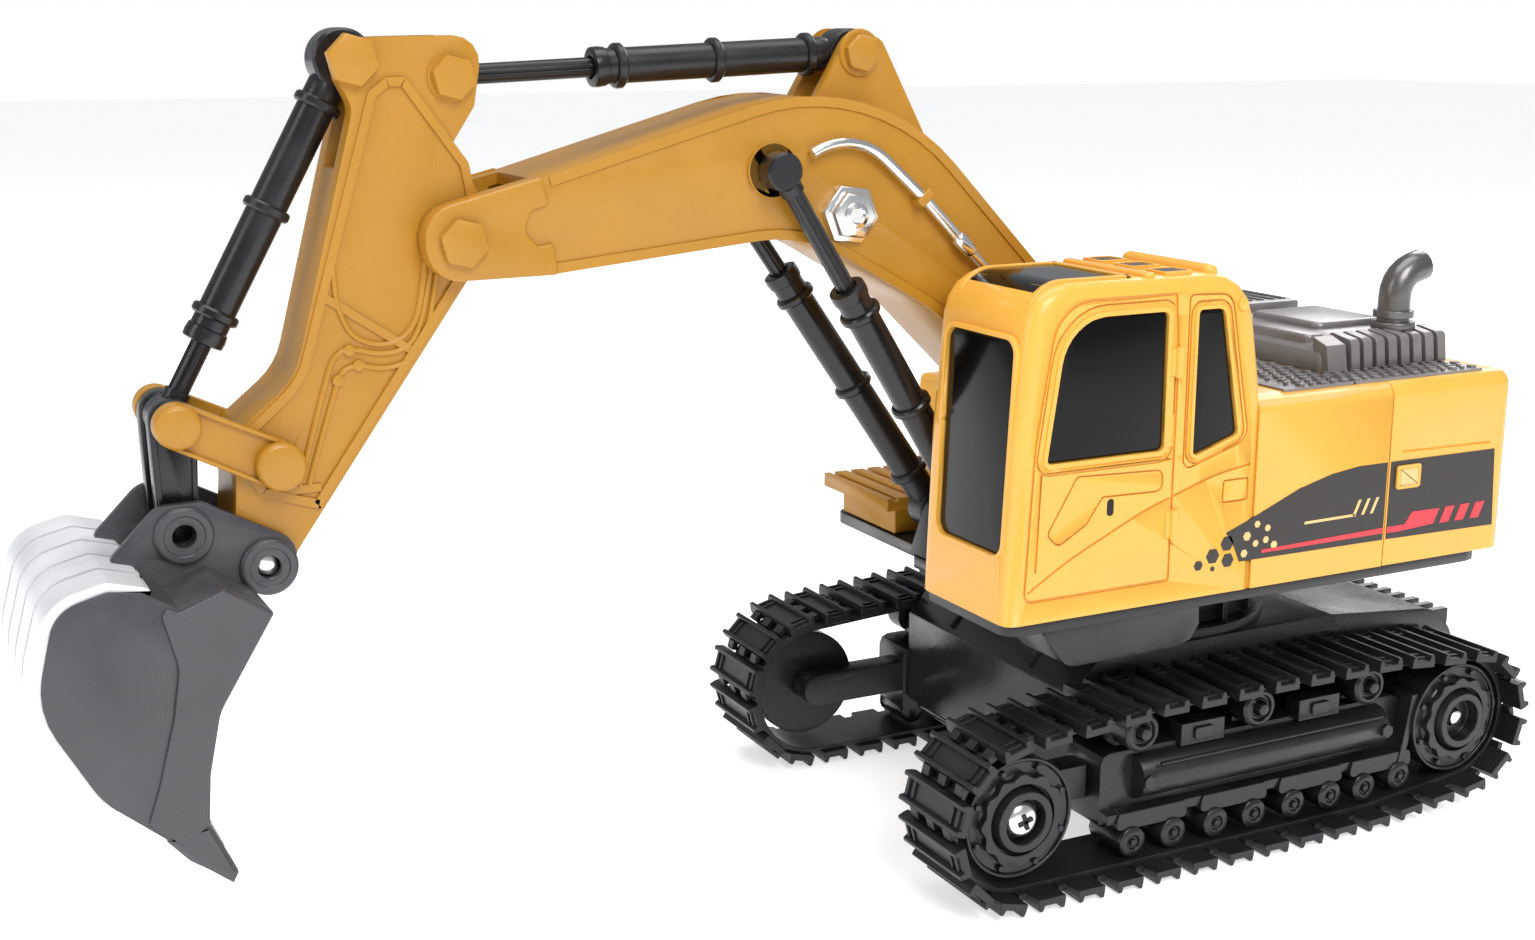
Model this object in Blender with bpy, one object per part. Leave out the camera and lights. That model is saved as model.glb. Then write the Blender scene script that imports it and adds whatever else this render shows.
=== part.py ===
"""Radio-controlled tracked excavator: every moulding, pin, gear and cylinder as its own closed solid.

Lengths are in millimetres until a mesh is finished, when they become metres.
X points forward along the boom, Y to the cab side and Z up from the ground.
Drawn coordinates count from the slew axis, which stands SLEW_X behind the middle of the model.
"""
import math

import bmesh
import bpy
from mathutils import Matrix, Vector

MM = 0.001
FIT = 0.3            # gap between two pieces that touch
SLEW_X = -72.99      # slew axis, measured from the middle of the whole length

# Undercarriage
TRACK_WIDTH = 19.1   # one belt
TRACK_OUTER = 49.0   # outer face of a belt, from the centre plane
TRACK_INNER = TRACK_OUTER - TRACK_WIDTH
SHOES = 36           # shoes on one belt
SHOE_DEPTH = 3.4     # lip of a shoe to the inner face of the belt
IDLER = (54.5, 16.6)
SPROCKET = (-50.5, 17.6)
IDLER_REACH = 16.4   # axle to the lips of the shoes
SPROCKET_REACH = 15.3
WHEEL_R = 11.2
CARRIERS = ((26.8, 27.3), (-0.7, 27.5), (-28.4, 27.3))
CARRIER_R = 3.8
FOOT_ROLLERS = tuple((x, 6.6) for x in (28.8, 19.4, 9.3, 0.1, -9.7, -18.9, -27.8)) + ((-37.0, 7.4),)
FOOT_ROLLER_R = 2.8
FRAME_TOP = 23.2
CHASSIS_HALF = TRACK_INNER - 0.6
RING_Z = (39.8, 49.2)
RING_R = 26.0
RING_TEETH = 24
PINION_TEETH = 8
GEAR_MODULE = 1.6
PINION_X = -GEAR_MODULE * (RING_TEETH - PINION_TEETH) / 2

# Upper works
FLOOR_Z = (49.6, 52.0)
SHELL_Z = 52.3
WALL = 1.5
HALF_WIDTH = 44.5
CAB_RIGHT = 16.3
CAB_FRONT = 58.8
CAB_BACK = 4.3
ROOF_Z = 110.9
DECK_Z = 88.0
RIGHT_DECK_Z = 80.0
REAR_X = -58.7
SEAM_X = -27.0
SLOT_X = -1.0        # back of the slot that the boom foot stands in

# Front end: pivots as (x, z) on the centre plane
BOOM_FOOT = (12.0, 76.0)
BOOM_HALF = 11.0
LIFT_FOOT = (41.0, 60.0)
LIFT_EYE = (86.8, 128.9)
LIFT_FOOT_Y = 8.5
LIFT_EYE_Y = 14.6
STICK_PIVOT = (142.2, 119.3)
ARM_EAR = (66.8, 148.3)
ARM_EYE = (141.6, 145.0)
STICK_HALF = 7.0
CURL_EAR = (157.5, 147.8)
ROCKER_FOOT = (172.5, 85.7)
ROCKER_TIP = (187.7, 93.4)
LINK_FOOT = (187.9, 76.3)
BUCKET_PIVOT = (175.2, 69.7)
BUCKET_HALF = 23.0
PIN_R = 1.6

YELLOW = ((0.80, 0.50, 0.10), 0.38, 0.0)
BOOM_YELLOW = ((0.62, 0.37, 0.07), 0.40, 0.0)
BLACK = ((0.025, 0.025, 0.028), 0.45, 0.0)
RUBBER = ((0.030, 0.030, 0.032), 0.60, 0.0)
DARK_GREY = ((0.085, 0.085, 0.092), 0.42, 0.0)
HOOD_GREY = ((0.30, 0.29, 0.28), 0.40, 0.0)
GLOSS_BLACK = ((0.010, 0.010, 0.012), 0.10, 0.0)
SILVER = ((0.78, 0.78, 0.78), 0.22, 1.0)
BRASS = ((0.70, 0.55, 0.28), 0.30, 1.0)
BOARD_GREEN = ((0.03, 0.22, 0.09), 0.50, 0.0)
CELL_BLUE = ((0.05, 0.14, 0.40), 0.45, 0.0)

pivots = {}
frames = {}


# ---------------------------------------------------------------- outlines

def corner_outline(corners, steps=4):
    """Closed outline from (u, v, radius) corners, each rounded by its own radius."""
    points = []
    count = len(corners)
    for i, (u, v, radius) in enumerate(corners):
        here = Vector((u, v))
        if radius <= 0:
            points.append(here)
            continue
        before = (Vector(corners[i - 1][:2]) - here).normalized()
        after = (Vector(corners[(i + 1) % count][:2]) - here).normalized()
        half = before.angle(after) / 2
        centre = here + (before + after).normalized() * (radius / math.sin(half))
        start = here + before * (radius / math.tan(half)) - centre
        end = here + after * (radius / math.tan(half)) - centre
        sweep = start.angle_signed(end)
        for k in range(steps + 1):
            turned_by = Matrix.Rotation(-sweep * k / steps, 2)
            points.append(centre + turned_by @ start)
    return [tuple(p) for p in points]


def hull(points):
    """Convex hull, counter-clockwise."""
    ordered = sorted(set(points))

    def half(run):
        chain = []
        for p in run:
            while len(chain) > 1 and ((chain[-1][0] - chain[-2][0]) * (p[1] - chain[-2][1])
                                      - (chain[-1][1] - chain[-2][1]) * (p[0] - chain[-2][0])) <= 0:
                chain.pop()
            chain.append(p)
        return chain[:-1]

    return half(ordered) + half(reversed(ordered))


def circle(centre, radius, steps=32, start=0.0):
    return [(centre[0] + radius * math.cos(start + 2 * math.pi * k / steps),
             centre[1] + radius * math.sin(start + 2 * math.pi * k / steps)) for k in range(steps)]


def hexagon(centre, radius):
    return circle(centre, radius, 6, math.radians(15))


def slot(first, second, first_r, second_r, steps=16):
    """Outline of a link: two round ends joined by their tangents."""
    return hull(circle(first, first_r, steps) + circle(second, second_r, steps))


def inset(outline, distance):
    """Outline moved inwards by a distance, corner by corner."""
    count = len(outline)
    area = sum(outline[i - 1][0] * outline[i][1] - outline[i][0] * outline[i - 1][1] for i in range(count))
    side = 1 if area > 0 else -1
    moved = []
    for i in range(count):
        here = Vector(outline[i])
        before = (here - Vector(outline[i - 1])).normalized()
        after = (Vector(outline[(i + 1) % count]) - here).normalized()
        normal = Vector((-before.y - after.y, before.x + after.x)) * side
        normal.normalize()
        lean = max(0.4, math.sqrt(max(0.0, (1 + before.dot(after)) / 2)))
        moved.append(tuple(here + normal * distance / lean))
    return moved


# ---------------------------------------------------------------- solids, in millimetres

def lift(u, v, w, axis):
    """Point (u, v) of an outline, at w along the extrusion axis."""
    return {'Y': (u, w, v), 'X': (w, u, v), 'Z': (u, v, w)}[axis]


def loft(layers, axis):
    """Solid through a row of equal outlines, each at its own position along the axis."""
    solid = bmesh.new()
    loops = [[solid.verts.new(lift(u, v, w, axis)) for u, v in outline] for outline, w in layers]
    solid.faces.new(loops[0])
    solid.faces.new(loops[-1])
    for first, second in zip(loops, loops[1:]):
        for i in range(len(first)):
            solid.faces.new((first[i - 1], first[i], second[i], second[i - 1]))
    bmesh.ops.recalc_face_normals(solid, faces=solid.faces)
    return solid


def prism(outline, low, high, axis='Y'):
    """Outline extruded from low to high."""
    return loft([(outline, low), (outline, high)], axis)


def soft_prism(outline, low, high, radius, axis='Y', both=True, base=None):
    """Extruded outline with rounded end rims. Points at the height base stay at that height."""
    rim = []
    for degrees in (90, 60, 30, 0):
        angle = math.radians(degrees)
        moved = inset(outline, radius * (1 - math.cos(angle))) if degrees else outline
        if base is not None:
            moved = [(m[0], o[1] if o[1] < base + 0.1 else m[1]) for m, o in zip(moved, outline)]
        rim.append((moved, radius * (1 - math.sin(angle))))
    layers = [(moved, low + w) for moved, w in rim]
    layers += [(moved, high - w) for moved, w in reversed(rim)] if both else [(outline, high)]
    return loft(layers, axis)


def ring_prism(outer, inner, low, high, axis='Y'):
    """Ring between two outlines with the same number of points."""
    solid = bmesh.new()
    loops = [[solid.verts.new(lift(u, v, w, axis)) for u, v in outline]
             for outline, w in ((outer, low), (outer, high), (inner, high), (inner, low))]
    for a in range(4):
        first, second = loops[a], loops[(a + 1) % 4]
        for i in range(len(outer)):
            solid.faces.new((first[i - 1], first[i], second[i], second[i - 1]))
    bmesh.ops.recalc_face_normals(solid, faces=solid.faces)
    return solid


def turned(profile, centre, axis='Y', steps=24):
    """Closed profile of (radius, position along the axis), revolved about the axis through centre."""
    solid = bmesh.new()
    loops = []
    for radius, along in profile:
        if radius < 1e-6:
            loops.append([solid.verts.new(lift(centre[0], centre[1], along, axis))])
        else:
            ring = circle(centre, radius, steps)
            loops.append([solid.verts.new(lift(u, v, along, axis)) for u, v in ring])
    pairs = zip(loops, loops[1:] + loops[:1]) if len(loops[0]) > 1 else zip(loops, loops[1:])
    for first, second in pairs:
        for i in range(steps):
            if len(first) == 1:
                solid.faces.new((first[0], second[i], second[i - 1]))
            elif len(second) == 1:
                solid.faces.new((first[i - 1], first[i], second[0]))
            else:
                solid.faces.new((first[i - 1], first[i], second[i], second[i - 1]))
    bmesh.ops.recalc_face_normals(solid, faces=solid.faces)
    return solid


def block(low, high):
    outline = ((low[0], low[2]), (high[0], low[2]), (high[0], high[2]), (low[0], high[2]))
    return prism(outline, low[1], high[1])


def peg(centre, radius, low, high, axis='Y', steps=16):
    return turned(((0, low), (radius, low), (radius, high), (0, high)), centre, axis, steps)


def tube(route, radius, steps=12):
    """Round bar along a route of points, its section carried along without twisting."""
    solid = bmesh.new()
    points = [Vector(p) for p in route]
    loops = []
    side = Vector((0, 1, 0))
    for i, point in enumerate(points):
        along = (points[min(i + 1, len(points) - 1)] - points[max(i - 1, 0)]).normalized()
        side = (side - along * side.dot(along)).normalized()
        up = along.cross(side)
        loops.append([solid.verts.new(point + radius * (side * math.cos(a) + up * math.sin(a)))
                      for a in (2 * math.pi * k / steps for k in range(steps))])
    for first, second in zip(loops, loops[1:]):
        for i in range(steps):
            solid.faces.new((first[i - 1], first[i], second[i], second[i - 1]))
    solid.faces.new(loops[0])
    solid.faces.new(loops[-1])
    bmesh.ops.recalc_face_normals(solid, faces=solid.faces)
    return solid


# ---------------------------------------------------------------- objects

def body(name, pivot=(0.0, 0.0, 0.0), parent=None):
    """Empty on a joint's axis, which carries the pieces that move together."""
    frame = bpy.data.objects.new(name + "_axis", None)
    bpy.context.scene.collection.objects.link(frame)
    frame.empty_display_size = 0.005
    pivots[name] = Vector(pivot)
    frames[name] = frame
    if parent:
        frame.parent = frames[parent]
        frame.location = (pivots[name] - pivots[parent]) * MM
    else:
        frame.location = Vector((SLEW_X, 0, 0)) * MM
    return name


def mesh_object(name, solid, owner):
    for vertex in solid.verts:
        vertex.co = (vertex.co - pivots[owner]) * MM
    mesh = bpy.data.meshes.new(name)
    solid.to_mesh(mesh)
    solid.free()
    obj = bpy.data.objects.new(name, mesh)
    bpy.context.scene.collection.objects.link(obj)
    obj.parent = frames[owner]
    return obj


def material(name, look):
    colour, roughness, metallic = look
    made = bpy.data.materials.new(name)
    made.use_nodes = True
    shader = made.node_tree.nodes["Principled BSDF"]
    shader.inputs["Base Color"].default_value = (*colour, 1.0)
    shader.inputs["Roughness"].default_value = roughness
    shader.inputs["Metallic"].default_value = metallic
    return made


def piece(name, solid, owner, look, add=(), cut=()):
    """Named piece on a body, with other solids added to it and cut from it."""
    obj = mesh_object(name, solid, owner)
    obj.data.materials.append(material(name, look))
    for operation, solids in (('UNION', add), ('DIFFERENCE', cut)):
        for number, other in enumerate(solids):
            guide = mesh_object(f"{name}_{operation.lower()}_{number}", other, owner)
            guide.hide_render = True
            guide.display_type = 'WIRE'
            change = obj.modifiers.new(guide.name, 'BOOLEAN')
            change.operation = operation
            change.solver = 'EXACT'
            change.object = guide
    obj.data.shade_smooth()
    obj.data.set_sharp_from_angle(angle=math.radians(30))
    return obj


# ---------------------------------------------------------------- undercarriage

def belt_route(samples):
    """Closed outer line of a belt, at equal steps: the hull of everything that it runs round."""
    wheels = [(IDLER, IDLER_REACH), (SPROCKET, SPROCKET_REACH)]
    wheels += [(centre, CARRIER_R + FIT + SHOE_DEPTH) for centre in CARRIERS]
    foot_reach = FOOT_ROLLER_R + SHOE_DEPTH + 0.4
    wheels += [((x, foot_reach), foot_reach) for x, z in FOOT_ROLLERS[:-1]]
    line = hull([p for centre, reach in wheels for p in circle(centre, reach, 64)])
    closed = [Vector(p) for p in line + line[:1]]
    lengths = [0.0]
    for a, b in zip(closed, closed[1:]):
        lengths.append(lengths[-1] + (b - a).length)
    points, k = [], 0
    for i in range(samples):
        target = lengths[-1] * i / samples
        while lengths[k + 1] < target:
            k += 1
        share = (target - lengths[k]) / (lengths[k + 1] - lengths[k])
        points.append(closed[k].lerp(closed[k + 1], share))
    return points


def belt_outlines():
    """Outer outline with its shoes, and the plain inner one."""
    fine = 40
    route = belt_route(SHOES * fine)
    shoe = ((0.10, 1.9), (0.18, 0.0), (0.82, 0.0), (0.90, 1.9))
    outer, inner = [], []
    for number in range(SHOES):
        for share, depth in shoe:
            i = round((number + share) * fine)
            here = route[i % len(route)]
            along = (route[(i + 6) % len(route)] - route[(i - 6) % len(route)]).normalized()
            inwards = Vector((-along.y, along.x))
            outer.append(tuple(here + inwards * depth))
            inner.append(tuple(here + inwards * SHOE_DEPTH))
    return outer, inner


def track_frame(name, side):
    """Side frame with the idler arm, the sprocket housing, the roller posts and the moulded foot rollers."""
    def y(low, high):
        return sorted((side * low, side * high))

    wall = corner_outline(((-39, 9, 1), (34, 9, 1), (34, FRAME_TOP, 2), (-39, FRAME_TOP, 2)), 2)
    low, high = y(TRACK_INNER - 0.2, 40)
    add = [prism(hull(circle((40.0 * side, 18.0), 4.2, 24)), -33, 27, 'X'),
           prism(((-39, 10.4), (34, 10.4), (34, 12.2), (-39, 12.2)), *y(39, 42.6)),
           prism(slot((32, 16.6), IDLER, 3.2, 3.2, 16), *y(TRACK_INNER + 0.2, 35.6)),
           peg(IDLER, 1.4, *y(35, 42.5)),
           prism(slot((-36, 17.6), SPROCKET, 6.0, 6.0, 20), *y(TRACK_INNER + 0.2, 35.6))]
    for x, z in CARRIERS:
        add.append(block((x - 2, y(31, 37.3)[0], 22), (x + 2, y(31, 37.3)[1], z + 1.6)))
        add.append(peg((x, z), 1.2, *y(37, 43.2), steps=12))
    add += [peg(centre, FOOT_ROLLER_R, *y(34, 43), steps=12) for centre in FOOT_ROLLERS]
    cut = [peg(SPROCKET, 2.0, *y(20, 50))]
    return piece(name, prism(wall, low, high), "root", DARK_GREY, add, cut)


def wheel(name, owner, centre, side, look=BLACK):
    """Track wheel: a rim that runs inside the belt, and a raised hub ring round a counterbore."""
    profile = [(1.8, 36.2), (WHEEL_R, 36.2), (WHEEL_R, 46.2), (8.8, 46.2), (8.0, 45.0), (6.0, 45.0), (5.4, 46.2),
               (4.1, 46.2), (4.1, 43.6), (1.8, 43.6)]
    return piece(name, turned([(r, side * y) for r, y in profile], centre), owner, look)


def undercarriage():
    body("root")
    outer, inner = belt_outlines()
    for side, label in ((1, "left"), (-1, "right")):
        low, high = sorted((side * TRACK_INNER, side * TRACK_OUTER))
        piece("track_belt_" + label, ring_prism(outer, inner, low, high), "root", RUBBER)
        track_frame("track_frame_" + label, side)

        drive = body("sprocket_" + label, (SPROCKET[0], side * 41, SPROCKET[1]), "root")
        wheel("drive_sprocket_" + label, drive, SPROCKET, side)
        gear = prism(gear_outline(12, 4.6, 1.3, SPROCKET), *sorted((side * 17, side * 20.5)))
        axle = peg(SPROCKET, 1.5, *sorted((side * 14, side * 44.6)))
        piece("drive_axle_" + label, gear, drive, SILVER, [axle])

        idler = body("idler_" + label, (IDLER[0], side * 41, IDLER[1]), "root")
        wheel("front_idler_" + label, idler, IDLER, side)
        screw = turned([(r, side * y) for r, y in ((0, 42.9), (1.1, 42.9), (1.1, 44.0), (3.5, 44.0),
                                                   (3.5, 44.8), (2.6, 45.6), (0, 45.6))], IDLER, steps=16)
        piece("idler_screw_" + label, screw, idler, BRASS)

        for number, centre in enumerate(CARRIERS, 1):
            owner = body(f"carrier_{label}_{number}", (centre[0], side * 41, centre[1]), "root")
            rim = [(1.5, 37.7), (CARRIER_R, 37.7), (CARRIER_R, 43.8), (1.5, 43.8)]
            piece(f"carrier_roller_{label}_{number}", turned([(r, side * y) for r, y in rim], centre, steps=16),
                  owner, BLACK)
        piece("drive_motor_" + label, peg((side * 13.0, 20.5), 6.4, -40, -14, 'X', 20), "root", SILVER)
    chassis()


def gear_outline(teeth, pitch_r, depth, centre, phase=0.0):
    """Outline of a spur gear with straight flanks. A negative depth points the teeth inwards."""
    outline = []
    step = 2 * math.pi / teeth
    for tooth in range(teeth):
        for share, height in ((-0.34, -0.55), (-0.16, 0.45), (0.16, 0.45), (0.34, -0.55)):
            angle = phase + (tooth + share) * step
            radius = pitch_r + height * depth
            outline.append((centre[0] + radius * math.cos(angle), centre[1] + radius * math.sin(angle)))
    return outline


def chassis():
    """Centre housing between the belts, its belly plate and the toothed slew ring."""
    half = CHASSIS_HALF
    side_view = corner_outline(((-64, 12, 0), (33, 12, 0), (33, 31, 1), (27, 37.5, 2), (-30, 38, 4),
                                (-57, 35.5, 6), (-64, 30, 6)), 3)
    hollow = corner_outline(((-62.4, 8, 0), (31.4, 8, 0), (31.4, 30.4, 1), (26, 35.8, 2), (-30, 36.3, 4),
                             (-56, 33.8, 6), (-62.4, 29, 5)), 3)
    base = peg((0, 0), RING_R + 2.5, 33, RING_Z[0] - FIT, 'Z', 48)
    cut = [prism(hollow, -half + 1.6, half - 1.6), peg((0, 0), 5.8, 30, 45, 'Z', 20),
           peg(SPROCKET, 2.0, -40, 40)]
    shell = prism(side_view, -half, half)
    piece("chassis_housing", shell, "root", DARK_GREY, [base], cut)
    belly = corner_outline(((-63.6, -half + 0.4, 4), (32.6, -half + 0.4, 4), (32.6, half - 0.4, 4),
                            (-63.6, half - 0.4, 4)), 3)
    piece("belly_plate", prism(belly, 10.2, 12 - FIT, 'Z'), "root", DARK_GREY)
    teeth = gear_outline(RING_TEETH, GEAR_MODULE * RING_TEETH / 2, -1.3, (0, 0))
    rim = circle((0, 0), RING_R, len(teeth), math.atan2(teeth[0][1], teeth[0][0]))
    piece("slew_ring", ring_prism(rim, teeth, *RING_Z, 'Z'), "root", BLACK)


# ---------------------------------------------------------------- upper works

def cab_outline(gap=0.0):
    corners = corner_outline(((CAB_FRONT, SHELL_Z, 0), (57.6, 84, 60), (55.2, ROOF_Z, 8),
                              (8.6, ROOF_Z, 10), (CAB_BACK, 88, 40), (CAB_BACK, SHELL_Z, 0)), 4)
    return inset(corners, gap) if gap else corners


def window_cutters():
    door = corner_outline(((51.6, 80.4, 0.8), (48.0, 105.0, 9), (27.0, 105.0, 1), (26.8, 80.4, 1)), 4)
    quarter = corner_outline(((20.3, 78.6, 0.8), (20.4, 104.8, 0.8), (14.7, 104.8, 1.5), (10.2, 81.8, 1)), 2)
    front = corner_outline(((20.6, 64.0, 2.5), (41.2, 64.0, 2.5), (41.6, 101.5, 2.5), (20.4, 101.5, 2.5)), 3)
    roof = corner_outline(((36.0, 21.5, 2), (51.0, 21.5, 3), (51.0, 39.5, 3), (36.0, 39.5, 2)), 3)
    rear = corner_outline(((22, 90, 2), (39, 90, 2), (39, 104, 3), (22, 104, 3)), 2)
    return [prism(door, HALF_WIDTH - 4, HALF_WIDTH + 4), prism(quarter, HALF_WIDTH - 4, HALF_WIDTH + 4),
            prism(door, CAB_RIGHT - 4, CAB_RIGHT + 4), prism(front, 50, 64, 'X'),
            prism(roof, ROOF_Z - 5, ROOF_Z + 5, 'Z'), prism(rear, 0, 8, 'X')]


def shell_section(right, left, top, radius):
    return corner_outline(((right, SHELL_Z, 0), (left, SHELL_Z, 0), (left, top, radius),
                           (right, top, radius)), 4)


def upper_works():
    body("upper", (0, 0, FLOOR_Z[0]), "root")
    plan = corner_outline(((-56.5, -42.5, 5), (44, -42.5, 3), (44, -5, 0), (48, -5, 2), (48, 15, 0),
                           (57, 15, 2), (57, 42.5, 3), (-56.5, 42.5, 5)), 3)
    hub = peg((0, 0), 5.2, 37, 50.5, 'Z', 20)
    bore = peg((0, 0), 3.6, 30, 60, 'Z', 20)
    shaft_hole = peg((PINION_X, 0), 1.9, 40, 60, 'Z')
    posts = [block((x, y, FLOOR_Z[1] - 0.5), (x + 3, y + 3, 60 - FIT)) for x in (-48, -13) for y in (15, 36)]
    tank = corner_outline(((15, 50, 0), (12, 42.5, 5), (44, 42.2, 4), (50, 50, 0)), 3)
    joined = [hub, prism(tank, 29, 42)] + posts
    piece("upper_floor", prism(plan, *FLOOR_Z, 'Z'), "upper", BLACK, joined, [bore, shaft_hole])

    cab = soft_prism(cab_outline(), CAB_RIGHT, HALF_WIDTH, 2.4, base=SHELL_Z)
    rear_block = prism(shell_section(-HALF_WIDTH, HALF_WIDTH, DECK_Z, 3), SEAM_X, SLOT_X, 'X')
    cab_bridge = prism(shell_section(CAB_RIGHT, HALF_WIDTH, DECK_Z, 3), SLOT_X - 1, 5.2, 'X')
    right_deck = prism(shell_section(-HALF_WIDTH, -CAB_RIGHT, RIGHT_DECK_Z, 2.5), SLOT_X - 1, 22, 'X')
    cab_hollow = prism([(u, v if v > SHELL_Z + WALL else SHELL_Z - 3) for u, v in cab_outline(WALL)],
                       CAB_RIGHT + WALL, HALF_WIDTH - WALL)
    wide, narrow = HALF_WIDTH - WALL, CAB_RIGHT + WALL
    hollows = [block((SEAM_X - 1, -wide, SHELL_Z - 2), (SLOT_X - WALL, wide, DECK_Z - WALL)),
               block((SLOT_X - 4, narrow, SHELL_Z - 2.4), (5.2 - WALL, wide - 0.4, DECK_Z - WALL - 0.4)),
               block((SLOT_X - 4, 0.4 - wide, SHELL_Z - 2.7), (22 - WALL, -narrow, RIGHT_DECK_Z - WALL)),
               cab_hollow]
    piece("upper_shell", rear_block, "upper", YELLOW, [cab_bridge, cab, right_deck],
          hollows + window_cutters())

    glass = prism(cab_outline(WALL + FIT), CAB_RIGHT + WALL + FIT, HALF_WIDTH - WALL - FIT)
    glass_trim = block((0, 0, 40), (70, 60, 60))
    glass_hollow = prism([(u, v if v > 61 else 50) for u, v in cab_outline(WALL + FIT + 1.2)],
                         CAB_RIGHT + WALL + FIT + 1.2, HALF_WIDTH - WALL - FIT - 1.2)
    piece("cab_glazing", glass, "upper", GLOSS_BLACK, (), [glass_hollow, glass_trim])

    weight = soft_prism(shell_section(-HALF_WIDTH, HALF_WIDTH, DECK_Z, 3), REAR_X, SEAM_X - FIT, 2.6, 'X',
                        both=False, base=SHELL_Z)
    weight_hollow = block((REAR_X + 2, -HALF_WIDTH + WALL, SHELL_Z - 2),
                          (SEAM_X + 1, HALF_WIDTH - WALL, DECK_Z - WALL))
    piece("counterweight", weight, "upper", YELLOW, (), [weight_hollow])

    hood = corner_outline(((-53, DECK_Z + FIT, 0), (-20, DECK_Z + FIT, 0), (-20, 92.6, 2.5), (-30, 94.4, 8),
                           (-45, 94.4, 8), (-53, 92.0, 2.5)), 2)
    louvres = [block((x - 0.5, 31.2, 89), (x + 0.5, 33, 92.6)) for x in range(-50, -23, 4)]
    louvres += [block((x - 0.5, -33, 89), (x + 0.5, -31.2, 92.6)) for x in range(-50, -23, 4)]
    bonnet = soft_prism(hood, -32, 32, 1.2, base=DECK_Z + FIT)
    piece("engine_hood", bonnet, "upper", HOOD_GREY, (), louvres)
    bend = [(-43 - 5.5 * (1 - math.cos(math.radians(a))), 27, 101 + 5.5 * math.sin(math.radians(a)))
            for a in range(0, 76, 15)]
    stack = [(-43, 27, 94.8)] + bend + [(bend[-1][0] - 2.6, 27, bend[-1][2] + 0.7)]
    collar = peg((-43, 27), 4.3, 94.4 + FIT, 96.2, 'Z', 20)
    piece("exhaust_pipe", tube(stack, 3.1, 16), "upper", HOOD_GREY, [collar])

    tread = block((25, -44, 57.2), (46, -17.5, 60.0))
    riser = block((31, -40, SHELL_Z), (43.5, -18.5, 58))
    grooves = [block((x - 0.5, -45, 59.2), (x + 0.5, -17, 61)) for x in range(28, 45, 4)]
    piece("side_step", tread, "upper", YELLOW, [riser], grooves)
    inside_the_housing()
    boom_mounts()


def inside_the_housing():
    cells = [prism(circle((y, 63.5), 7.1, 20), -52, -4, 'X') for y in (-26, -12.2, 1.6)]
    piece("battery_pack", cells[0], "upper", CELL_BLUE, cells[1:] + [block((-50, -26, 58), (-6, 1.6, 61))])
    piece("circuit_board", block((-50, 12, 60), (-8, 40, 61.4)), "upper", BOARD_GREEN,
          [block((-36, 20, 61), (-26, 30, 63)), block((-20, 24, 61), (-14, 34, 64))])
    cover = prism(corner_outline(((-50, -34, 3), (-8, -34, 3), (-8, 8, 3), (-50, 8, 3)), 3),
                  FLOOR_Z[0] - 1.6, FLOOR_Z[0] - FIT, 'Z')
    ring_gap = peg((0, 0), RING_R + 1.0, 40, 60, 'Z', 48)
    piece("battery_cover", cover, "upper", BLACK, (), [ring_gap])
    body("switch", (-46, 24, FLOOR_Z[0]), "upper")
    slider = block((-48, 22.5, FLOOR_Z[0] - 1.9), (-44, 25.5, FLOOR_Z[0] - FIT))
    piece("power_switch", slider, "switch", RUBBER)

    piece("slew_motor", peg((PINION_X, 0), 6.2, 53.4, 56.1, 'Z', 20), "upper", SILVER)
    body("pinion", (PINION_X, 0, 44), "upper")
    teeth = gear_outline(PINION_TEETH, GEAR_MODULE * PINION_TEETH / 2, 1.3, (PINION_X, 0),
                         math.pi / PINION_TEETH)
    piece("slew_pinion", prism(teeth, 41.5, 47.5, 'Z'), "pinion", BRASS, [peg((PINION_X, 0), 1.3, 46, 53, 'Z')])


def boom_mounts():
    """Uprights for the boom foot and the lug for the two lift cylinders."""
    base = FLOOR_Z[1] + FIT
    plate = corner_outline(((0, base, 0), (24, base, 0), (18, 82, 6), (6, 82, 6)), 3)
    hole = peg(BOOM_FOOT, PIN_R + FIT, -20, 20)
    foot = block((0, -14.6, base), (24, 14.6, base + 2.5))
    lug = corner_outline(((34, base, 0), (48, base, 0), (44, 63.6, 3), (38, 63.6, 3)), 3)
    lift_hole = peg(LIFT_FOOT, PIN_R + FIT, -20, 20)
    joined = [prism(plate, 12.2, 14.6), prism(plate, -14.6, -12.2), prism(lug, -5.2, 5.2),
              block((20, -4, base), (38, 4, base + 2.0))]
    piece("boom_bracket", foot, "upper", BLACK, joined, [hole, lift_hole])
    pin = turned(((0, -15.6), (2.6, -15.6), (2.6, -14.9), (PIN_R, -14.9), (PIN_R, 14.9), (2.6, 14.9),
                  (2.6, 15.6), (0, 15.6)), BOOM_FOOT)
    piece("boom_foot_pin", pin, "upper", SILVER)
    piece("lift_foot_pin", peg(LIFT_FOOT, PIN_R, -12.2, 12.2), "upper", SILVER)


# ---------------------------------------------------------------- cylinders

def along(start, end, distance):
    return start + (end - start).normalized() * distance


def aimed(solid, start, end):
    """Solid drawn up the Z axis, turned to point from start to end."""
    turn = Vector((0, 0, 1)).rotation_difference(end - start).to_matrix().to_4x4()
    bmesh.ops.transform(solid, matrix=Matrix.Translation(start) @ turn, verts=solid.verts)
    return solid


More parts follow.
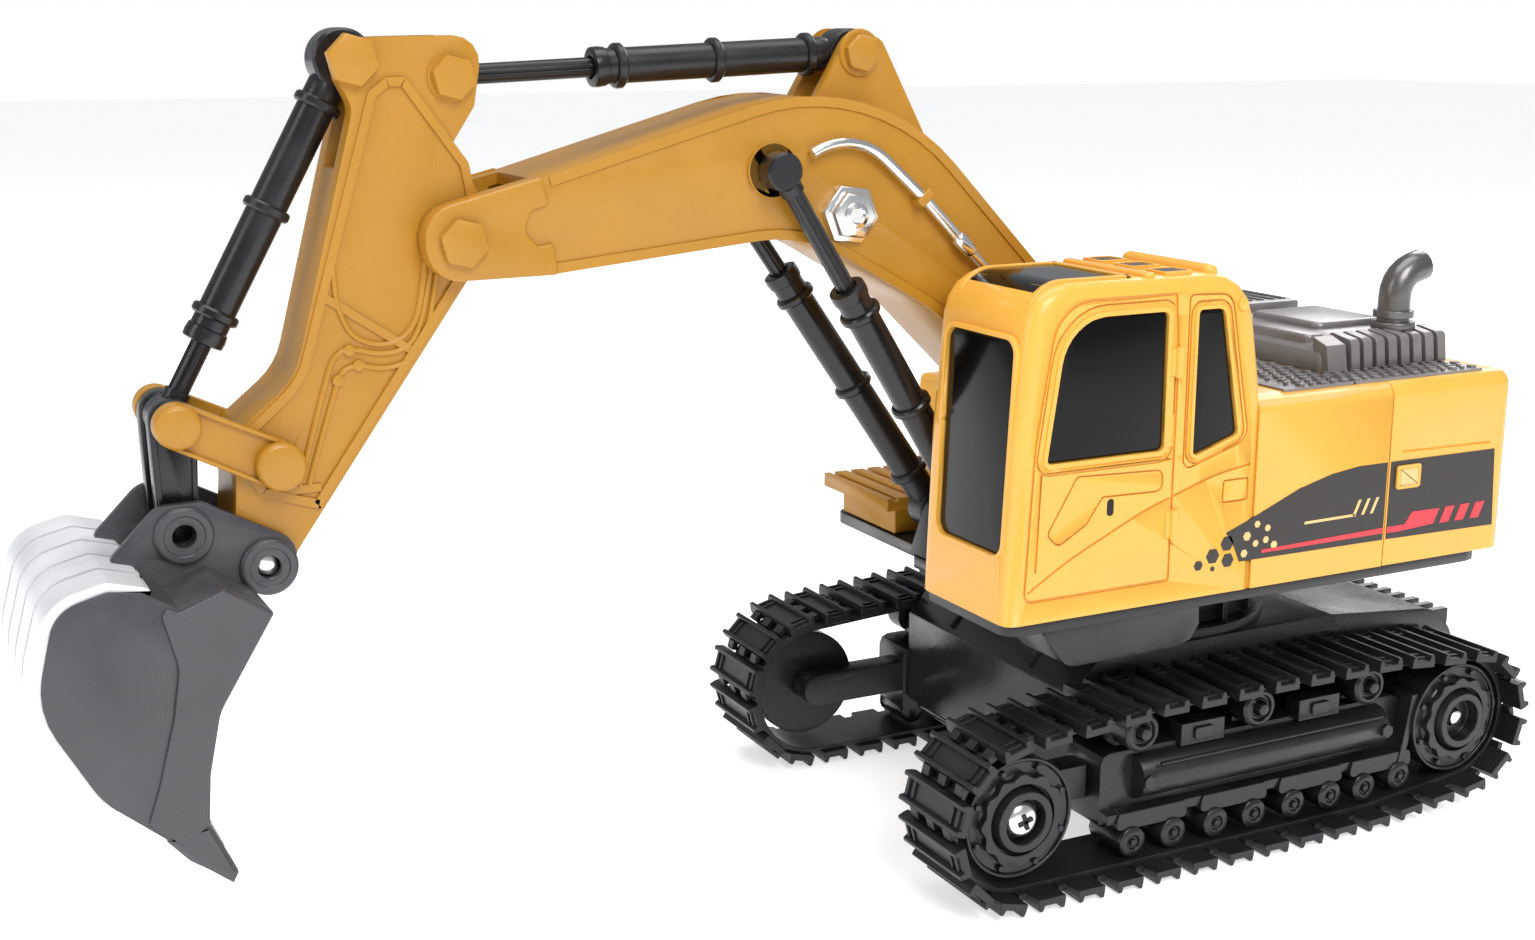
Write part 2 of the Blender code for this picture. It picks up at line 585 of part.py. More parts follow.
def barrel_and_rod(label, base_body, start, end, length, eye_half, rod_eye_half, rod_stem):
    """Telescoping pair between two pivots. The rod slides along the line that joins them."""
    start, end = Vector(start), Vector(end)
    barrel_body = body(label + "_barrel", start, base_body)
    profile = [(0, 3.4), (3.0, 4.6), (3.0, length * 0.52), (3.5, length * 0.53), (3.5, length * 0.56),
               (3.0, length * 0.57), (3.0, length - 4.2), (3.5, length - 4.0), (3.5, length),
               (2.0, length), (2.0, 8.0), (0, 8.0)]
    tube_solid = aimed(turned(profile, (0, 0), 'Z', 16), start, end)
    low, high = start.y - eye_half, start.y + eye_half
    eye = peg((start.x, start.z), 4.2, low, high, steps=20)
    neck = aimed(peg((0, 0), 2.3, 1.5, 4.5, 'Z', 10), start, end)
    hole = [peg((start.x, start.z), PIN_R + FIT, low - 2, high + 2)]
    piece(label + "_barrel", tube_solid, barrel_body, BLACK, [eye, neck], hole)

    rod_body = body(label + "_rod", along(start, end, length), barrel_body)
    reach = (end - start).length
    stem = aimed(peg((0, 0), 1.7, reach - rod_stem, reach - 1.0, 'Z', 12), start, end)
    low, high = end.y - rod_eye_half, end.y + rod_eye_half
    piece(label + "_rod", stem, rod_body, BLACK, [peg((end.x, end.z), 3.3, low, high)])
    return rod_body


# ---------------------------------------------------------------- boom, stick and bucket

def boom_outline(tip_corners):
    """Gooseneck from the foot over the bend to the given corners at the tip."""
    foot = BOOM_FOOT
    over = [(foot[0] - 8.4, foot[1] + 5.5, 7.5), (66.9, 146.2, 41)]
    under = [(80.4, 117.8, 30), (54.0, 102.8, 25), (foot[0] + 5.2, foot[1] - 9.0, 7.0)]
    return corner_outline(over + tip_corners + under, 5)


def hex_pin(name, centre, radius, half, head, owner, look):
    """Pin through a pivot, with a hexagonal head against each outer face."""
    heads = [prism(hexagon(centre, radius), *sorted((side * (half + FIT), side * (half + head))))
             for side in (1, -1)]
    piece(name, peg(centre, PIN_R, -half - 1, half + 1), owner, look, heads)


def boom():
    body("boom", (BOOM_FOOT[0], 0, BOOM_FOOT[1]), "upper")
    ear = corner_outline(((50, 128, 0), (78, 136, 0), (ARM_EAR[0] + 5.2, 146, 3), (ARM_EAR[0] + 1, 153.2, 4),
                          (ARM_EAR[0] - 4.6, 150.4, 3)), 4)
    add = [prism(ear, 3.3, 5.8), prism(ear, -5.8, -3.3)]
    add += [peg(LIFT_EYE, 4.8, *sorted((side * 10, side * 11.9))) for side in (1, -1)]
    tip = [(127.0, 129.4, 14), (STICK_PIVOT[0] + 6.6, STICK_PIVOT[1] + 5.0, 5.6),
           (STICK_PIVOT[0] + 5.4, STICK_PIVOT[1] - 6.2, 5.6), (127.0, 113.4, 20)]
    hollow = inset(boom_outline([(133, 127.8, 0), (133, 114.1, 0)]), 1.8)
    stick_gap = block((129.5, -STICK_HALF - FIT, 100), (150, STICK_HALF + FIT, 136))
    cut = [stick_gap, peg(STICK_PIVOT, PIN_R + FIT, -30, 30), peg(BOOM_FOOT, PIN_R + FIT, -30, 30),
           peg((71.5, 120.7), PIN_R + FIT, -30, 30), peg(ARM_EAR, PIN_R + FIT, -20, 20),
           prism(hollow, 2 - BOOM_HALF, BOOM_HALF - 2)]
    piece("boom", prism(boom_outline(tip), -BOOM_HALF, BOOM_HALF), "boom", BOOM_YELLOW, add, cut)
    hex_pin("arm_ear_pin", ARM_EAR, 3.4, 5.8, 1.8, "boom", BOOM_YELLOW)
    hex_pin("boom_bolt", (71.5, 120.7), 5.2, BOOM_HALF, 2.4, "boom", SILVER)
    hex_pin("stick_pivot_pin", STICK_PIVOT, 4.1, BOOM_HALF, 2.2, "boom", BOOM_YELLOW)
    y = BOOM_HALF + FIT + 1.3
    bow = [(73.4 + 12.6 * math.cos(math.radians(a)), y, 120.6 + 12.6 * math.sin(math.radians(a)))
           for a in range(136, 55, -8)]
    piece("boom_pipe", tube([(30.0, y, 96.0)] + bow, 1.3, 10), "boom", SILVER)


def stick():
    body("stick", (STICK_PIVOT[0], 0, STICK_PIVOT[1]), "boom")
    a, b, k, m = CURL_EAR, ARM_EYE, BUCKET_PIVOT, ROCKER_FOOT
    outline = corner_outline(((a[0] + 5.4, a[1] + 3.2, 4.5), (b[0] - 5.5, b[1] + 6.6, 4.2),
                              (b[0] - 3.6, b[1] - 4.6, 1), (142.0, 134.4, 1), (137.6, 126.5, 4),
                              (137.6, 116.2, 2), (k[0] - 5.4, k[1] + 1.6, 2), (k[0] - 1.5, k[1] - 5.6, 4),
                              (k[0] + 5.2, k[1] - 2.5, 4), (m[0] + 6.6, m[1] - 5, 3),
                              (m[0] + 6.0, m[1] + 5.4, 3), (168.8, 99.0, 12), (157.6, 140.5, 4)), 4)
    hexes = [prism(hexagon(b, 3.6), *sorted((side * 6.4, side * 8.9))) for side in (1, -1)]
    cut = [peg(a, PIN_R + FIT, -20, 20), block((130, -3.3, 139.5), (168, 3.3, 160)),
           block((155.2, -3.3, 131), (170, 3.3, 141)),
           peg(STICK_PIVOT, PIN_R + FIT, -20, 20), peg(m, PIN_R + FIT, -20, 20), peg(k, PIN_R + FIT, -20, 20)]
    piece("stick", prism(outline, -STICK_HALF, STICK_HALF), "stick", BOOM_YELLOW, hexes, cut)
    hex_pin("curl_ear_pin", a, 4.1, STICK_HALF, 1.9, "stick", BOOM_YELLOW)
    piece("rocker_foot_pin", peg(m, PIN_R, -9.0, 9.0), "stick", SILVER)
    piece("bucket_pin", peg(k, PIN_R, -8.8, 8.8), "stick", SILVER)


def linkage():
    body("rocker", (ROCKER_FOOT[0], 0, ROCKER_FOOT[1]), "stick")
    for side, label in ((1, "left"), (-1, "right")):
        link = prism(slot(ROCKER_FOOT, ROCKER_TIP, 3.7, 3.7), *sorted((side * 7.3, side * 9.3)))
        cap = peg(ROCKER_FOOT, 3.7, *sorted((side * 9.0, side * 10.9)))
        cap_tip = peg(ROCKER_TIP, 3.3, *sorted((side * 9.0, side * 10.9)))
        stub = peg(ROCKER_TIP, PIN_R, *sorted((side * 2.9, side * 8.0)))
        hole = peg(ROCKER_FOOT, PIN_R + FIT, *sorted((side * 6, side * 9.4)))
        piece("rocker_link_" + label, link, "rocker", BOOM_YELLOW, [cap, cap_tip, stub], [hole])

    body("push_link", (ROCKER_TIP[0], 0, ROCKER_TIP[1]), "rocker")
    arms = [prism(slot(ROCKER_TIP, LINK_FOOT, 3.6, 3.0), *sorted((side * 2.6, side * 5.8)))
            for side in (1, -1)]
    web = block((LINK_FOOT[0] - 2.2, -3, LINK_FOOT[1] - 2), (LINK_FOOT[0] + 2.2, 3, LINK_FOOT[1] + 9))
    holes = [peg(ROCKER_TIP, PIN_R + FIT, -20, 20)]
    piece("push_link", arms[0], "push_link", BLACK, [web, arms[1]], holes)


def bucket_outline():
    return corner_outline(((201.5, 72.6, 3), (209.0, 70.5, 6), (212.6, 56.0, 14), (204.5, 40.5, 14),
                           (193.5, 30.8, 0), (189.4, 33.3, 0), (188.7, 42.0, 0), (186.6, 51.7, 8), (177.6, 66.3, 0.6),
                           (184.9, 71.1, 0.6), (191.6, 68.6, 0.6), (196.5, 71.8, 2)), 4)


def bucket():
    body("bucket", (BUCKET_PIVOT[0], 0, BUCKET_PIVOT[1]), "stick")
    half = BUCKET_HALF
    cavity = corner_outline(((170, 62.5, 0), (184.8, 68.9, 1), (191.6, 66.8, 1), (197.4, 70.0, 2),
                             (206.4, 69.0, 5), (210.6, 56.0, 13), (203.2, 42.0, 13), (192.6, 33.4, 0),
                             (190.0, 36.4, 0), (170, 36.4, 0)), 3)
    ear = corner_outline(((LINK_FOOT[0] + 3.6, LINK_FOOT[1] + 4.8, 4), (LINK_FOOT[0] - 3, LINK_FOOT[1] + 4.9, 4),
                          (BUCKET_PIVOT[0] - 5.2, BUCKET_PIVOT[1] + 3.4, 4),
                          (BUCKET_PIVOT[0] - 3.0, BUCKET_PIVOT[1] - 5.4, 4),
                          (180.4, 65.8, 1), (200.5, 69.6, 1), (198.5, 74.0, 3)), 4)
    add = [prism(ear, 7.5, 9.2), prism(ear, -9.2, -7.5)]
    for side in (1, -1):
        for centre in (LINK_FOOT, BUCKET_PIVOT):
            add.append(peg(centre, 4.4, *sorted((side * 7.6, side * 10.2))))
    tooth = corner_outline(((193.6, 35.4, 0), (189.6, 33.6, 0), (185.5, 25.4, 0), (186.4, 23.8, 0),
                            (192.2, 28.6, 0), (195.2, 32.2, 0)))
    add += [prism(tooth, y - 2.6, y + 2.6) for y in (-20.4, -10.2, 0, 10.2, 20.4)]
    cut = [prism(cavity, -half + 1.6, half - 1.6)]
    for side in (1, -1):
        for centre in (LINK_FOOT, BUCKET_PIVOT):
            cut.append(peg(centre, PIN_R + FIT, *sorted((side * 5, side * 12))))
    cut.append(peg(BUCKET_PIVOT, 7.2, -7.4, 7.4, steps=24))
    piece("bucket", prism(bucket_outline(), -half, half), "bucket", DARK_GREY, add, cut)


def front_end():
    boom()
    stick()
    linkage()
    bucket()
    for side, label in ((1, "left"), (-1, "right")):
        start = (LIFT_FOOT[0], side * LIFT_FOOT_Y, LIFT_FOOT[1])
        end = (LIFT_EYE[0], side * LIFT_EYE_Y, LIFT_EYE[1])
        barrel_and_rod("lift_" + label, "upper", start, end, 58.0, 2.6, 2.0, 46)
    barrel_and_rod("arm", "boom", (ARM_EAR[0], 0, ARM_EAR[1]), (ARM_EYE[0], 0, ARM_EYE[1]), 48.5, 2.9, 2.8, 54)
    barrel_and_rod("curl", "stick", (CURL_EAR[0], 0, CURL_EAR[1]), (ROCKER_TIP[0], 0, ROCKER_TIP[1]),
                   49.5, 2.9, 2.2, 46)


def main():
    for obj in list(bpy.data.objects):
        bpy.data.objects.remove(obj, do_unlink=True)
    undercarriage()
    upper_works()
    front_end()


main()
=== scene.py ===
"""Looks of the radio-controlled excavator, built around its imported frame.

Lengths are in millimetres until a mesh is finished. X points forward along the boom, Y to the
cab side and Z up. Drawn coordinates count from the slew axis.
"""
import math

import bmesh
import bpy
from mathutils import Matrix, Vector


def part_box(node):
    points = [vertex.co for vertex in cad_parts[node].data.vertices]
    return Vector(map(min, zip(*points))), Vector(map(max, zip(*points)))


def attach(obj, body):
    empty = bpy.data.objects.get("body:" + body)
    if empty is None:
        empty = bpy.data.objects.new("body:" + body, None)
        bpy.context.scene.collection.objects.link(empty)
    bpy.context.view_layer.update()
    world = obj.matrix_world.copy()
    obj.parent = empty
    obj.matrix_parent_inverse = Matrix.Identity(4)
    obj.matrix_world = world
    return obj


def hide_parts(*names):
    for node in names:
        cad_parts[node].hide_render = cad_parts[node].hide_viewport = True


MM = 0.001
WELD = 0.000002                # metres: corners of CAD triangles closer than this are one
SHARP = math.radians(32)       # an edge that turns further than this is drawn sharp, or bevelled
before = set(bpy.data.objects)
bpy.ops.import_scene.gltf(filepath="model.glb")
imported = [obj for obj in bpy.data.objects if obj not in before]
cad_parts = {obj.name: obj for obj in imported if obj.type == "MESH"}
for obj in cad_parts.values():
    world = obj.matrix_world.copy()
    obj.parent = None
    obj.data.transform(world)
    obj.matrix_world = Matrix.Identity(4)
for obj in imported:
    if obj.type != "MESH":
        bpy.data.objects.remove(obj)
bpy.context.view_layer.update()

ring_low, ring_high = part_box("slew_ring")
SLEW_X = (ring_low.x + ring_high.x) / 2 / MM     # slew axis, measured from the middle of the model

SIDES = ((1, "left"), (-1, "right"))

# Driving sizes, shared with the frame
HALF_WIDTH = 44.5      # body
SHELL_Z = 52.3
DECK_Z = 88.0
ROOF_Z = 110.9
ROOF_FRONT = 55.6
SEAM_X = -27.0
CAB_FRONT, CAB_RIGHT = 58.8, 16.3
BOOM_HALF = 11.0
STICK_HALF = 7.0
BUCKET_HALF = 23.0
TRACK_INNER, TRACK_OUTER = 29.9, 49.0
SHOES = 36
SHOE_DEPTH = 3.4
WHEEL_R = 11.2
IDLER = (54.5, 16.6)
SPROCKET = (-50.5, 17.6)
CARRIERS = ((26.8, 27.3), (-0.7, 27.5), (-28.4, 27.3))
FOOT_ROLLERS = tuple((x, 6.6) for x in (28.8, 19.4, 9.3, 0.1, -9.7, -18.9, -27.8)) + ((-37.0, 7.4),)

# Pivots as (x, z)
BOOM_FOOT = (12.0, 76.0)
LIFT_FOOT = (41.0, 60.0)
LIFT_EYE = (86.8, 128.9)
STICK_PIVOT = (142.2, 119.3)
BOOM_NUT = (71.5, 120.7)
ARM_EAR = (66.8, 148.3)
ARM_EYE = (141.6, 145.0)
CURL_EAR = (157.5, 147.8)
ROCKER_FOOT = (172.5, 85.7)
ROCKER_TIP = (187.7, 93.4)
LINK_FOOT = (187.9, 76.3)
BUCKET_PIVOT = (175.2, 69.7)


# ---------------------------------------------------------------- outlines

def corner_outline(corners, steps=6):
    """Closed outline from (u, v, radius) corners, each rounded by its own radius."""
    points = []
    count = len(corners)
    for i, (u, v, radius) in enumerate(corners):
        here = Vector((u, v))
        if radius <= 0:
            points.append(tuple(here))
            continue
        before = (Vector(corners[i - 1][:2]) - here).normalized()
        after = (Vector(corners[(i + 1) % count][:2]) - here).normalized()
        half = before.angle(after) / 2
        centre = here + (before + after).normalized() * (radius / math.sin(half))
        start = here + before * (radius / math.tan(half)) - centre
        end = here + after * (radius / math.tan(half)) - centre
        sweep = start.angle_signed(end)
        points += [tuple(centre + Matrix.Rotation(-sweep * k / steps, 2) @ start)
                   for k in range(steps + 1)]
    return points


def rectangle(left, bottom, right, top, radius, steps=2):
    """Outline of a rectangle with rounded corners."""
    return corner_outline(((left, bottom, radius), (right, bottom, radius), (right, top, radius),
                           (left, top, radius)), steps)


def hull(points):
    """Convex hull, counter-clockwise."""
    ordered = sorted(set(points))

    def half(run):
        chain = []
        for p in run:
            while len(chain) > 1 and ((chain[-1][0] - chain[-2][0]) * (p[1] - chain[-2][1])
                                      - (chain[-1][1] - chain[-2][1]) * (p[0] - chain[-2][0])) <= 0:
                chain.pop()
            chain.append(p)
        return chain[:-1]

    return half(ordered) + half(reversed(ordered))


def circle(centre, radius, steps=48, start=0.0):
    """Points round a centre. radius may be one number or one for each point."""
    radii = radius if hasattr(radius, "__len__") else [radius] * steps
    angles = [start + 2 * math.pi * k / len(radii) for k in range(len(radii))]
    return [(centre[0] + r * math.cos(a), centre[1] + r * math.sin(a)) for r, a in zip(radii, angles)]


def hexagon(centre, radius, turn=15):
    return circle(centre, radius, 6, math.radians(turn))


def slot(first, second, first_r, second_r):
    """Outline of a link: two round ends joined by their tangents."""
    return hull(circle(first, first_r, 40) + circle(second, second_r, 40))


def inset(outline, distance):
    """Outline moved inwards by a distance, corner by corner."""
    count = len(outline)
    area = sum(outline[i - 1][0] * outline[i][1] - outline[i][0] * outline[i - 1][1] for i in range(count))
    side = 1 if area > 0 else -1
    shifted = []
    for i in range(count):
        here = Vector(outline[i])
        before = (here - Vector(outline[i - 1])).normalized()
        after = (Vector(outline[(i + 1) % count]) - here).normalized()
        normal = Vector((-before.y - after.y, before.x + after.x)) * side
        normal.normalize()
        lean = max(0.4, math.sqrt(max(0.0, (1 + before.dot(after)) / 2)))
        shifted.append(tuple(here + normal * distance / lean))
    return shifted


# ---------------------------------------------------------------- solids, in millimetres

def lift(u, v, w, axis):
    """Point (u, v) of an outline, at w along the extrusion axis."""
    return {'Y': (u, w, v), 'X': (w, u, v), 'Z': (u, v, w)}[axis]


def loft(layers, axis='Y', closed=False):
    """Solid through a row of equal outlines, each at its own position along the axis."""
    solid = bmesh.new()
    loops = [[solid.verts.new(lift(u, v, w, axis)) for u, v in outline] for outline, w in layers]
    if not closed:
        solid.faces.new(loops[0])
        solid.faces.new(loops[-1])
    pairs = list(zip(loops, loops[1:])) + ([(loops[-1], loops[0])] if closed else [])
    for first, second in pairs:
        for i in range(len(first)):
            solid.faces.new((first[i - 1], first[i], second[i], second[i - 1]))
    bmesh.ops.recalc_face_normals(solid, faces=solid.faces)
    return solid


def prism(outline, low, high, axis='Y'):
    return loft([(outline, low), (outline, high)], axis)


def ring_prism(outer, inner, low, high, axis='Y'):
    """Ring between two outlines with the same number of points."""
    return loft([(outer, low), (outer, high), (inner, high), (inner, low)], axis, closed=True)


def rim(outline, width, low, high, axis='Y'):
    """Raised border that follows an outline on its inside."""
    return ring_prism(outline, inset(outline, width), low, high, axis)


def open_rim(outline, width, low, high, kept):
    """Raised border along the part of an outline whose points are kept, which is one unbroken run."""
    inner = inset(outline, width)
    count = len(outline)
    start = next(i for i in range(count) if kept(outline[i]) and not kept(outline[i - 1]))
    run = []
    while kept(outline[(start + len(run)) % count]) and len(run) < count:
        run.append((start + len(run)) % count)
    return prism([outline[i] for i in run] + [inner[i] for i in reversed(run)], low, high)


def pillow(outline, low, high, edge, axis='Y'):
    """Extruded outline whose rim at the high end is rounded by edge."""
    sign = 1 if high > low else -1
    layers = [(outline, low)]
    for degrees in (0, 30, 60, 90):
        angle = math.radians(degrees)
        shrunk = inset(outline, edge * (1 - math.cos(angle)))
        layers.append((shrunk, high - sign * edge * (1 - math.sin(angle))))
    return loft(layers, axis)


def turned(profile, centre, axis='Y', steps=48):
    """Closed profile of (radius, position along the axis), revolved about the axis through centre."""
    layers = [(circle(centre, max(r, 0.01), steps), w) for r, w in profile]
    return loft(layers, axis, closed=profile[0][0] > 0.01)


def turned_out(profile, centre, side, steps=48):
    """Turned solid whose positions count outwards from the middle plane, to the left (1) or right (-1)."""
    return turned([(r, side * y) for r, y in profile], centre, steps=steps)


def span(side, low, high):
    """Range along Y between two distances from the middle plane, on the left (1) or right (-1)."""
    return sorted((side * low, side * high))


def block(low, high):
    outline = ((low[0], low[2]), (high[0], low[2]), (high[0], high[2]), (low[0], high[2]))
    return prism(outline, low[1], high[1])


def peg(centre, radius, low, high, axis='Y', steps=32):
    return prism(circle(centre, radius, steps), low, high, axis)


def tube(route, radius, steps=16):
    """Round bar along a route that never runs along Y. radius may be one number or one for each point."""
    solid = bmesh.new()
    points = [Vector(p) for p in route]
    radii = radius if hasattr(radius, "__len__") else [radius] * len(points)
    loops = []
    side = Vector((0, 1, 0))
    for i, point in enumerate(points):
        along = (points[min(i + 1, len(points) - 1)] - points[max(i - 1, 0)]).normalized()
        side = (side - along * side.dot(along)).normalized()
        across = along.cross(side)
        loops.append([solid.verts.new(point + radii[i] * (side * math.cos(a) + across * math.sin(a)))
                      for a in (2 * math.pi * k / steps for k in range(steps))])
    for first, second in zip(loops, loops[1:]):
        for i in range(steps):
            solid.faces.new((first[i - 1], first[i], second[i], second[i - 1]))
    solid.faces.new(loops[0])
    solid.faces.new(loops[-1])
    bmesh.ops.recalc_face_normals(solid, faces=solid.faces)
    return solid


def smooth_route(points, steps=6):
    """Points along a curve that passes through the given ones."""
    found = []
    knots = [Vector(p) for p in points]
    for i in range(len(knots) - 1):
        a, b, c, d = knots[max(i - 1, 0)], knots[i], knots[i + 1], knots[min(i + 2, len(knots) - 1)]
        for k in range(steps):
            t = k / steps
            found.append(0.5 * ((2 * b) + (c - a) * t + (2 * a - 5 * b + 4 * c - d) * t * t
                                + (3 * b - a - 3 * c + d) * t ** 3))
    return found + [knots[-1]]


def merged(*solids):
    """Several solids as one mesh."""
    whole = bmesh.new()
    for solid in solids:
        mesh = bpy.data.meshes.new("part")
        solid.to_mesh(mesh)
        solid.free()
        whole.from_mesh(mesh)
        bpy.data.meshes.remove(mesh)
    return whole


def moved(solid, matrix):
    bmesh.ops.transform(solid, matrix=matrix, verts=solid.verts)
    return solid


def aimed(solid, start, end):
    """Solid drawn up the Z axis, turned to point from start to end."""
    start, end = Vector(start), Vector(end)
    turn = Vector((0, 0, 1)).rotation_difference(end - start).to_matrix().to_4x4()
    return moved(solid, Matrix.Translation(start) @ turn)


# ---------------------------------------------------------------- materials

def surface(name, colour, roughness, metallic=0.0, grain=0.12, grain_size=0.6, spread=0.10,
            mottle=0.10, mottle_size=12.0, coat=0.0, specular=0.5, streak=None):
    """Moulded or metal surface: mottled colour, uneven gloss and a fine grain in the bump.

    Sizes are in millimetres. streak stretches the grain along an axis, as brushing does.
    """
    made = bpy.data.materials.new(name)
    made.use_nodes = True
    nodes, links = made.node_tree.nodes, made.node_tree.links
    shader = nodes["Principled BSDF"]
    shader.inputs["Metallic"].default_value = metallic
    shader.inputs["Coat Weight"].default_value = coat
    shader.inputs["Coat Roughness"].default_value = 0.12
    shader.inputs["Specular IOR Level"].default_value = specular
    place = nodes.new("ShaderNodeTexCoord")
    stretch = nodes.new("ShaderNodeMapping")
    stretch.inputs["Scale"].default_value = streak or (1, 1, 1)
    links.new(place.outputs["Object"], stretch.inputs["Vector"])

    def noise(size, detail):
        texture = nodes.new("ShaderNodeTexNoise")
        texture.inputs["Scale"].default_value = 1 / (size * MM)
        texture.inputs["Detail"].default_value = detail
        links.new(stretch.outputs["Vector"], texture.inputs["Vector"])
        return texture.outputs["Fac"]

    def spread_over(value, low, high):
        node = nodes.new("ShaderNodeMapRange")
        for limit, number in (("From Min", 0.3), ("From Max", 0.7), ("To Min", low), ("To Max", high)):
            node.inputs[limit].default_value = number
        links.new(value, node.inputs["Value"])
        return node.outputs["Result"]

    broad = noise(mottle_size, 4.0)
    fine = noise(grain_size, 3.0)
    mix = nodes.new("ShaderNodeMix")
    mix.data_type = 'RGBA'
    mix.inputs["A"].default_value = (*[c * (1 - mottle) for c in colour], 1)
    mix.inputs["B"].default_value = (*[min(1, c * (1 + mottle)) for c in colour], 1)
    links.new(spread_over(broad, 0, 1), mix.inputs["Factor"])
    links.new(mix.outputs["Result"], shader.inputs["Base Color"])
    gloss = spread_over(broad, max(0.02, roughness - spread), roughness + spread)
    links.new(gloss, shader.inputs["Roughness"])
    bump = nodes.new("ShaderNodeBump")
    bump.inputs["Strength"].default_value = grain
    bump.inputs["Distance"].default_value = 0.1 * MM
    links.new(fine, bump.inputs["Height"])
    links.new(bump.outputs["Normal"], shader.inputs["Normal"])
    return made


YELLOW = surface("cab_yellow", (0.84, 0.43, 0.062), 0.32, coat=0.15, spread=0.05, mottle=0.03)
MUSTARD = surface("boom_mustard", (0.46, 0.215, 0.016), 0.36, spread=0.06, mottle=0.05, grain=0.2)
BLACK = surface("satin_black", (0.010, 0.010, 0.012), 0.30, grain=0.25, mottle=0.3)
TRACK_BLACK = surface("track_rubber", (0.012, 0.012, 0.014), 0.40, grain=0.5, grain_size=0.8, mottle=0.35)
FRAME_BLACK = surface("chassis_black", (0.013, 0.013, 0.015), 0.27, grain=0.4, mottle=0.3)
GLOSS = surface("window_black", (0.002, 0.002, 0.002), 0.12, spread=0.03, grain=0.02, specular=0.22)
DECAL = surface("decal_black", (0.022, 0.017, 0.016), 0.36, spread=0.04, grain=0.05)
RED = surface("decal_red", (0.72, 0.035, 0.050), 0.34, spread=0.04, grain=0.05)
CREAM = surface("decal_cream", (0.80, 0.55, 0.22), 0.34, spread=0.04, grain=0.05)
HOOD = surface("hood_grey", (0.24, 0.225, 0.22), 0.33, metallic=0.35, grain=0.3, mottle=0.15)
PIPE = surface("exhaust_grey", (0.16, 0.155, 0.15), 0.28, metallic=0.7, grain=0.25, mottle=0.2)
BUCKET = surface("bucket_grey", (0.070, 0.070, 0.076), 0.34, metallic=0.25, grain=0.25, mottle=0.12)
BAND = surface("bucket_band", (0.78, 0.79, 0.81), 0.36, metallic=0.2, grain=0.25, mottle=0.10)
STEEL = surface("bright_steel", (0.82, 0.82, 0.82), 0.20, metallic=1.0, grain=0.08, streak=(1, 6, 1))
# Near-black fill set into recesses, slots and the screw cross: painted shade standing in for the shadow
# inside them.
PAINTED_SHADE = surface("shadow_gap", (0.008, 0.008, 0.008), 0.65)


# ---------------------------------------------------------------- objects

def add(name, solid, body, look, edge=0.25, replaces=(), segments=2):
    """Piece on a body, made of one solid or a list of them, with its edges rounded by edge."""
    if isinstance(solid, list):
        solid = merged(*solid)
    mesh = bpy.data.meshes.new(name)
    to_model(solid).to_mesh(mesh)
    solid.free()
    obj = bpy.data.objects.new(name, mesh)
    bpy.context.scene.collection.objects.link(obj)
    mesh.materials.append(look)
    finish_edges(obj, edge, segments)
    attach(obj, body)
    if replaces:
        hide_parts(*replaces)
    return obj


def finish_edges(obj, edge, segments=2):
    obj.data.shade_smooth()
    obj.data.set_sharp_from_angle(angle=SHARP)
    if edge:
        bevel = obj.modifiers.new("soft_edges", 'BEVEL')
        bevel.width = edge * MM
        bevel.segments = segments
        bevel.limit_method = 'ANGLE'
        bevel.angle_limit = SHARP
        bevel.harden_normals = True


def to_model(solid):
    """Moves a solid from millimetres about the slew axis to metres in the model's frame."""
    for vertex in solid.verts:
        vertex.co = Vector((vertex.co.x + SLEW_X, vertex.co.y, vertex.co.z)) * MM
    return solid


def carved(node, body, look, cutters, name, edge=0.15):
    """Copy of a CAD node with grooves and recesses cut into it, shown in the node's place."""
    obj = bpy.data.objects.new(name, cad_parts[node].data.copy())
    bpy.context.scene.collection.objects.link(obj)
    weld = obj.modifiers.new("weld", 'WELD')
    weld.merge_threshold = WELD
    tools = []
    for solid in cutters:
        mesh = bpy.data.meshes.new("cutter")
        to_model(solid).to_mesh(mesh)
        solid.free()
        tool = bpy.data.objects.new("cutter", mesh)
        bpy.context.scene.collection.objects.link(tool)
        change = obj.modifiers.new("cut", 'BOOLEAN')
        change.operation, change.solver, change.object = 'DIFFERENCE', 'EXACT', tool
        tools.append(tool)
    bpy.context.view_layer.update()
    shaped = bpy.data.meshes.new_from_object(obj.evaluated_get(bpy.context.evaluated_depsgraph_get()))
    obj.modifiers.clear()
    obj.data = shaped
    for tool in tools:
        bpy.data.objects.remove(tool)
    shaped.materials.clear()
    shaped.materials.append(look)
    finish_edges(obj, edge)
    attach(obj, body)
    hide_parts(node)
    return obj


def ribbon(points, width):
    """Outline of a strip of even width that follows a line of points."""
    line = [Vector(p) for p in points]
    left, right = [], []
    for i, point in enumerate(line):
        along = (line[min(i + 1, len(line) - 1)] - line[max(i - 1, 0)]).normalized()
        across = Vector((-along.y, along.x)) * (width / 2)
        left.append(tuple(point + across))
        right.append(tuple(point - across))
    return left + right[::-1]


def curve(points):
    """Flat version of smooth_route."""
    return [(p.x, p.y) for p in smooth_route([(u, v, 0) for u, v in points], 5)]


def dress(look, *names, edge=0.2):
    """Finish for CAD nodes that stay in view."""
    for name in names:
        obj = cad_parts[name]
        obj.data.materials.clear()
        obj.data.materials.append(look)
        weld = obj.modifiers.new("weld", 'WELD')
        weld.merge_threshold = WELD
        finish_edges(obj, edge)


# ---------------------------------------------------------------- undercarriage

